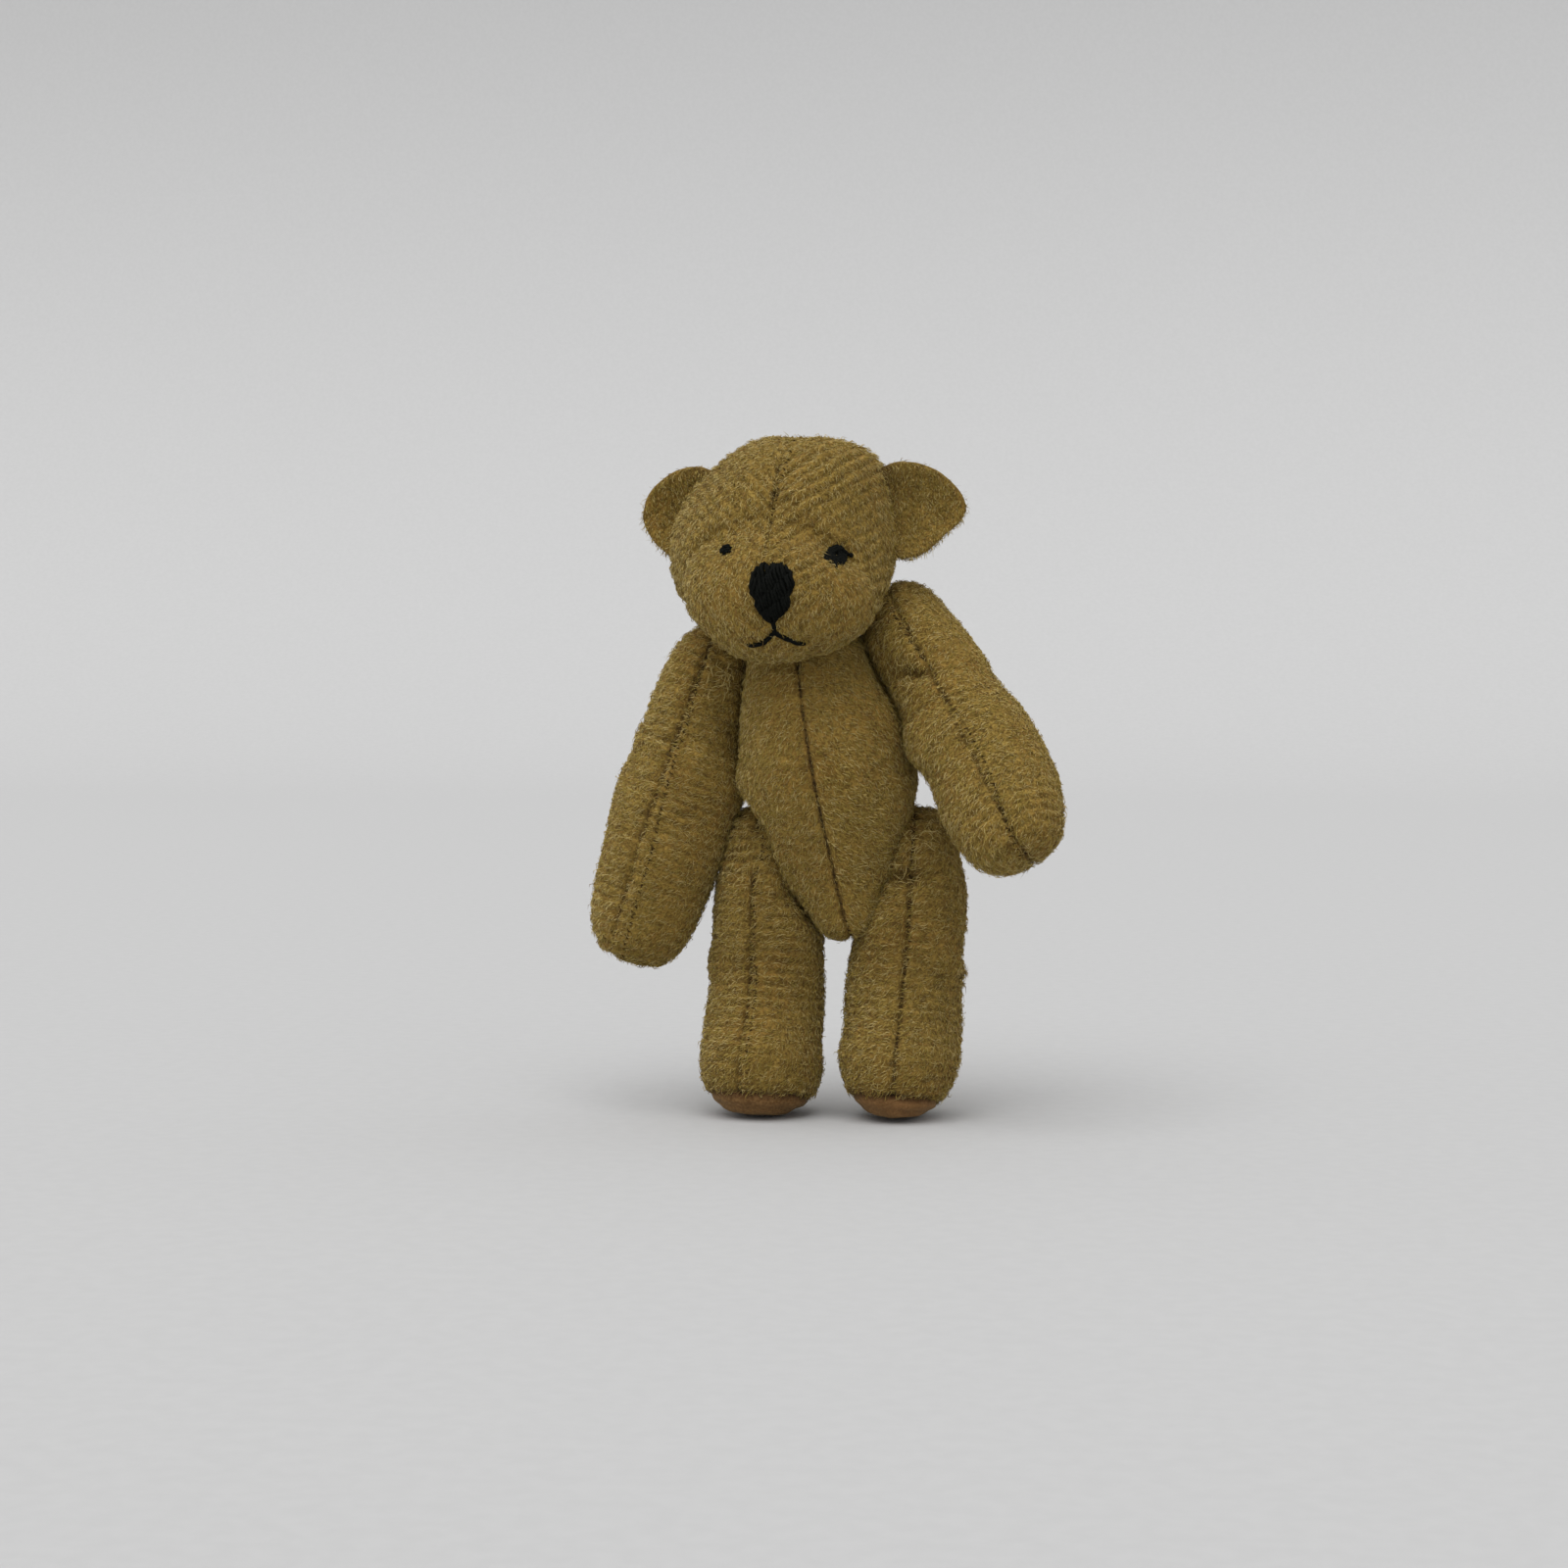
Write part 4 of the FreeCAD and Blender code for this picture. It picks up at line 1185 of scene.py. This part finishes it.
class Ear(Skin):
    """One side of an ear as rows from its middle to its rim, columns round it."""

    closed = False

    def __init__(self, side, face):
        self.body = "head"
        self.way = 1 if face == "back" else -1
        cloud = node_points(f"{side}_ear_front", f"{side}_ear_back")
        spread = np.linalg.svd(cloud - cloud.mean(0), full_matrices=False)[2]
        self.back = spread[2] * np.sign(spread[2][1])
        self.up = unit(np.array([0, 0, 1.0]) - self.back * self.back[2])
        self.left = np.cross(self.up, self.back)
        self.left = self.left * np.sign(self.left[0]) * SIDES[side]
        tall = np.ptp(cloud @ self.up) / 2
        wide = np.ptp(cloud @ self.left)
        root = (cloud.min(0) + cloud.max(0)) / 2 - self.left * (wide / 2 + 1.0)
        root = root + np.array(EAR_SHIFT[side])
        self.middle = root + self.left * wide * EAR_MIDDLE
        self.columns = EAR_COLUMNS
        reach = np.linspace(0, 1, EAR_ROWS)[:, None]
        turn = np.linspace(0, 2 * math.pi, EAR_COLUMNS, endpoint=False)[None]
        corner = LOW_CORNER[side] * bell(turn - LOW_CORNER_TURN, LOW_CORNER_SPREAD)
        x = np.cos(turn) * wide * EAR_WIDTH * (1 - corner)
        z = np.sin(turn) * tall * (1 - EAR_FLARE * np.cos(turn)) * (1 - corner)
        cup = EAR_CUP * (1 - reach ** 2) - EAR_RIM_SHIFT
        thick = EAR_HALF_THICKNESS * np.sqrt(1 - reach ** 6 * 0.92)
        depth = cup + thick * self.way
        self.grid = (self.middle + (x * reach)[..., None] * self.left
                     + (z * reach)[..., None] * self.up + depth[..., None] * self.back)
        self.grid[0] = self.grid[1].mean(0)
        # painted shade along the rim and at the root
        rim = EAR_RIM_PAINTED_SHADE * bell(reach - 1, EAR_RIM_WIDTH) * np.ones_like(turn)
        from_root = (self.grid - root) @ self.left
        sewn = np.clip(EAR_ROOT_PAINTED_SHADE - EAR_PAINTED_SHADE_FALL * from_root, 0, EAR_MOST_PAINTED_SHADE)
        self.shade = np.clip(rim + sewn * (EAR_BACK_PAINTED_SHADE if face == "back" else 1), 0, 1)
        self.painted_highlight = np.zeros_like(self.shade)

    def normals(self):
        """Outward directions of this side of the ear."""
        middle_row = 5       # one of the rows near the middle, where the ear is nearly flat
        out = self.slopes()
        out = out * np.sign((out[middle_row] @ self.back).sum() * self.way)
        out[0] = unit(out[1].mean(0))
        return out

    def faces(self, first, last, low, high):
        """Quads between two columns and two rows, facing outwards on either side."""
        quads = super().faces(first, last, low, high)
        return quads if self.way < 0 else [quad[::-1] for quad in quads]


def add_ears():
    """Two ears, each a front and a back of felt with small dents."""
    dents = ((0.05, 1.3, 40), (0.08, 4.0, 50))       # (depth, size, seed)
    for side in SIDES:
        for index, face in enumerate(("front", "back")):
            ear = Ear(side, face)
            bumps = sum(depth * lumps(ear.grid, size, seed + index) for depth, size, seed in dents)
            ear.grid = ear.grid + ear.normals() * bumps[..., None]
            ear.grid[0] = ear.grid[1].mean(0)
            last = EAR_ROWS - 1
            panel(f"{side}_ear_{face}_felt", ear, 0, EAR_COLUMNS, 0, last, GOLD,
                  f"{side}_ear_{face}")
            nap(f"{side}_ear_{face}_nap", ear, 0, EAR_COLUMNS, 0, last, down, 60 + index,
                length=0.8, density=1.6)


# ---------------- face

KNOT_DEPTH = 0.6         # keeps a knot round where the head curves away behind it
NOSE_STRANDS = 17
NOSE_LIFTS = (0.10, 0.28)                        # of its two layers of stitches
NOSE_DOME = 0.60
NOSE_WIDTH = 0.90
NOSE_THREAD, MOUTH_THREAD, EYE_THREAD = 0.20, 0.27, 0.24


class Face:
    """The head's skin seen from the front, to lay threads on."""

    def __init__(self, head):
        points = [Vector(point) for point in head.grid.reshape(-1, 3)]
        quads = head.faces(0, head.columns, 0, len(head.grid) - 1)
        self.tree = BVHTree.FromPolygons(points, quads)

    def on(self, x, z, lift=0.0):
        """The skin's point straight behind (x, z), lifted along its normal."""
        hit, normal, _, _ = self.tree.ray_cast(Vector((x, -RAY_REACH, z)), Vector((0, 1, 0)))
        normal = normal if normal.y < 0 else -normal
        return np.array(hit + normal * lift)

    def path(self, x, z, *steps):
        """Points on the skin from steps of (right, up, lift) away from (x, z)."""
        return [self.on(x + right, z + above, lift) for right, above, lift in steps]


def add_nose(face):
    """Satin stitches side by side, ragged along the top and meeting in a point below."""
    low, high = box_mm("nose_stitches")
    middle, half = (low[0] + high[0]) / 2 + FACE_SHIFT, (high[0] - low[0]) / 2 * NOSE_WIDTH
    upper, tall = high[2] - NOSE_DROP, high[2] - low[2]
    notch_at, notch_depth, notch_width = -0.66, 0.55, 0.10
    draw = np.random.default_rng(21)
    threads = []
    for layer, layer_lift in enumerate(NOSE_LIFTS):
        for i in range(NOSE_STRANDS - layer):
            t = (i + 0.5 * layer) / (NOSE_STRANDS - 1) * 2 - 1
            top = upper - 0.9 * abs(t) ** 3 + draw.uniform(-0.20, 0.20)
            top -= notch_depth * bell(t - notch_at, notch_width)
            bottom = upper - tall * (0.68 + 0.32 * math.sqrt(1 - t ** 2))
            path = []
            for s in np.linspace(0, 1, 14):
                x = middle + half * t * (0.90 + 0.12 * math.sin(math.pi * s) - 0.34 * s ** 4)
                z = top + (bottom - top) * s
                bulge = math.sqrt(math.sin(math.pi * (0.1 + 0.8 * s)))
                dome = math.sqrt(1 - (t * 0.95) ** 2) * bulge
                sunk = 0.35 if s in (0, 1) else 0.0
                path.append(face.on(x, z, layer_lift + NOSE_DOME * dome - sunk))
            threads.append(tube(curve_through(path, 26), NOSE_THREAD, sides=8, ply=0.10, turn=0.9))
    add_threads("nose_satin_stitches", threads, BLACK, "head", "nose_stitches")


def add_mouth(face):
    """One upright stitch from the nose and two curved ones, with their ends sunk in."""
    low, high = box_mm("mouth_stitches")
    middle = middle_of("nose_stitches")[0] + FACE_SHIFT
    fork = high[2] - 1.9
    ways = [
        [(0, high[2] + 0.4), (0.05, high[2] - 0.8), (0.1, fork)],
        [(0.15, fork + 0.25), (-0.8, fork - 0.55), (-1.9, fork - 1.05), (-3.25, low[2] + 0.45)],
        [(0, fork + 0.25), (1.1, fork - 0.35), (2.2, fork - 0.80), (3.2, low[2] + 0.60)],
    ]
    lifted, sunk = 0.16, 0.42
    threads = []
    for way in ways:
        flat = curve_through([(middle + x, 0, z) for x, z in way], 22)
        lifts = lifted - sunk * np.abs(np.linspace(-1, 1, len(flat))) ** 10
        path = [face.on(x, z, lift) for (x, _, z), lift in zip(flat, lifts)]
        threads.append(tube(path, MOUTH_THREAD, sides=10, ply=0.14, turn=1.2))
    add_threads("mouth_threads", threads, BLACK, "head", "mouth_stitches")


def knot_loops(face, x, z, wide, tall, loops, seed, thick):
    """A French knot: loops of thread wound over each other."""
    draw = np.random.default_rng(seed)
    depth = face.on(x, z)[1]
    angle = np.linspace(0, 2 * math.pi * 0.93, 20)
    threads = []
    for i in range(loops):
        tilt = draw.uniform(0, math.pi)
        squash = draw.uniform(0.25, 0.75)
        size = draw.uniform(0.62, 1.0)
        a, b = np.cos(angle) * size, np.sin(angle) * size * squash
        px = x + wide * (a * math.cos(tilt) - b * math.sin(tilt))
        pz = z + tall * (a * math.sin(tilt) + b * math.cos(tilt))
        lift = 0.10 + 0.5 * (i / loops) * (1 - 0.4 * np.abs(a)) + 0.1 * np.sin(angle * 2 + tilt)
        path = np.array([face.on(u, w, h) for u, w, h in zip(px, pz, lift)])
        path[:, 1] = depth + (path[:, 1] - depth) * KNOT_DEPTH
        threads.append(tube(path, thick, sides=7, ply=0.12, turn=1.2))
    return threads


def add_eyes(face):
    """A small sunken knot on the bear's right, a larger one with a tail on its left."""
    for side in SIDES:
        x, _, z = eye_place(side)
        if side == "left":
            threads = knot_loops(face, x + 0.1, z, wide=1.32, tall=1.30, loops=26, seed=31,
                                 thick=EYE_THREAD)
            tail = face.path(x, z, (0.5, 0.1, 0.4), (1.1, 0.18, 0.4), (1.55, 0.16, 0.25))
            threads.append(tube(curve_through(tail, 9), EYE_THREAD, sides=8))
            ball = face.path(x, z, (1.60, 0.16, 0.10), (1.85, 0.18, 0.45))
            threads.append(tube(curve_through(ball, 6), 0.34, sides=8))
            leg = face.path(x, z, (-0.1, -0.5, 0.35), (0.45, -1.15, 0.12), (0.6, -1.5, -0.2))
            threads.append(tube(curve_through(leg, 9), 0.16, sides=7))
        else:
            threads = knot_loops(face, x, z, wide=0.80, tall=0.52, loops=10, seed=33, thick=0.16)
            stray = face.path(x, z, (-0.7, -0.25, -0.1), (-0.1, 0.15, 0.25), (0.65, 0.5, -0.1))
            threads.append(tube(curve_through(stray, 9), 0.12, sides=7))
        add_threads(f"{side}_eye_knot", threads, BLACK, "head", f"{side}_eye")


# ---------------- joints

def dress_joints():
    """Better surfaces for the discs, washers and cotter pins, which keep their CAD shapes."""
    board = board_material()
    washer = steel_material("washer_steel", tone=0.55)
    pin = steel_material("pin_steel", tone=0.45)
    for name, node in frame["nodes"].items():
        if name.endswith("_disc"):
            material = board
        elif "washer" in name:
            material = washer
        elif name.endswith("cotter_pin"):
            material = pin
        else:
            continue
        node.data.materials.clear()
        node.data.materials.append(material)


add_camera()
add_studio()
add_floor(floor_material())
make_torso()
arms, legs = {}, {}
for number, side_name in enumerate(SIDES):
    arms[side_name] = make_arm(side_name, 200 + 50 * number)
    legs[side_name] = make_leg(side_name, 300 + 50 * number)
loose_threads("right_shoulder_loose_threads", arms["right"],
              [(-11.0, -3.0, 53.5), (-10.2, -3.0, 51.5)], 71)
loose_threads("left_shoulder_loose_threads", arms["left"],
              [(10.5, -3.0, 52.2)], 72)
loose_threads("left_hip_loose_threads", legs["left"],
              [(9.8, 0.3, 28.4), (11.8, 0.0, 33.5)], 73)
head_part = make_head()
add_ears()
front = Face(head_part)
add_nose(front)
add_mouth(front)
add_eyes(front)
dress_joints()
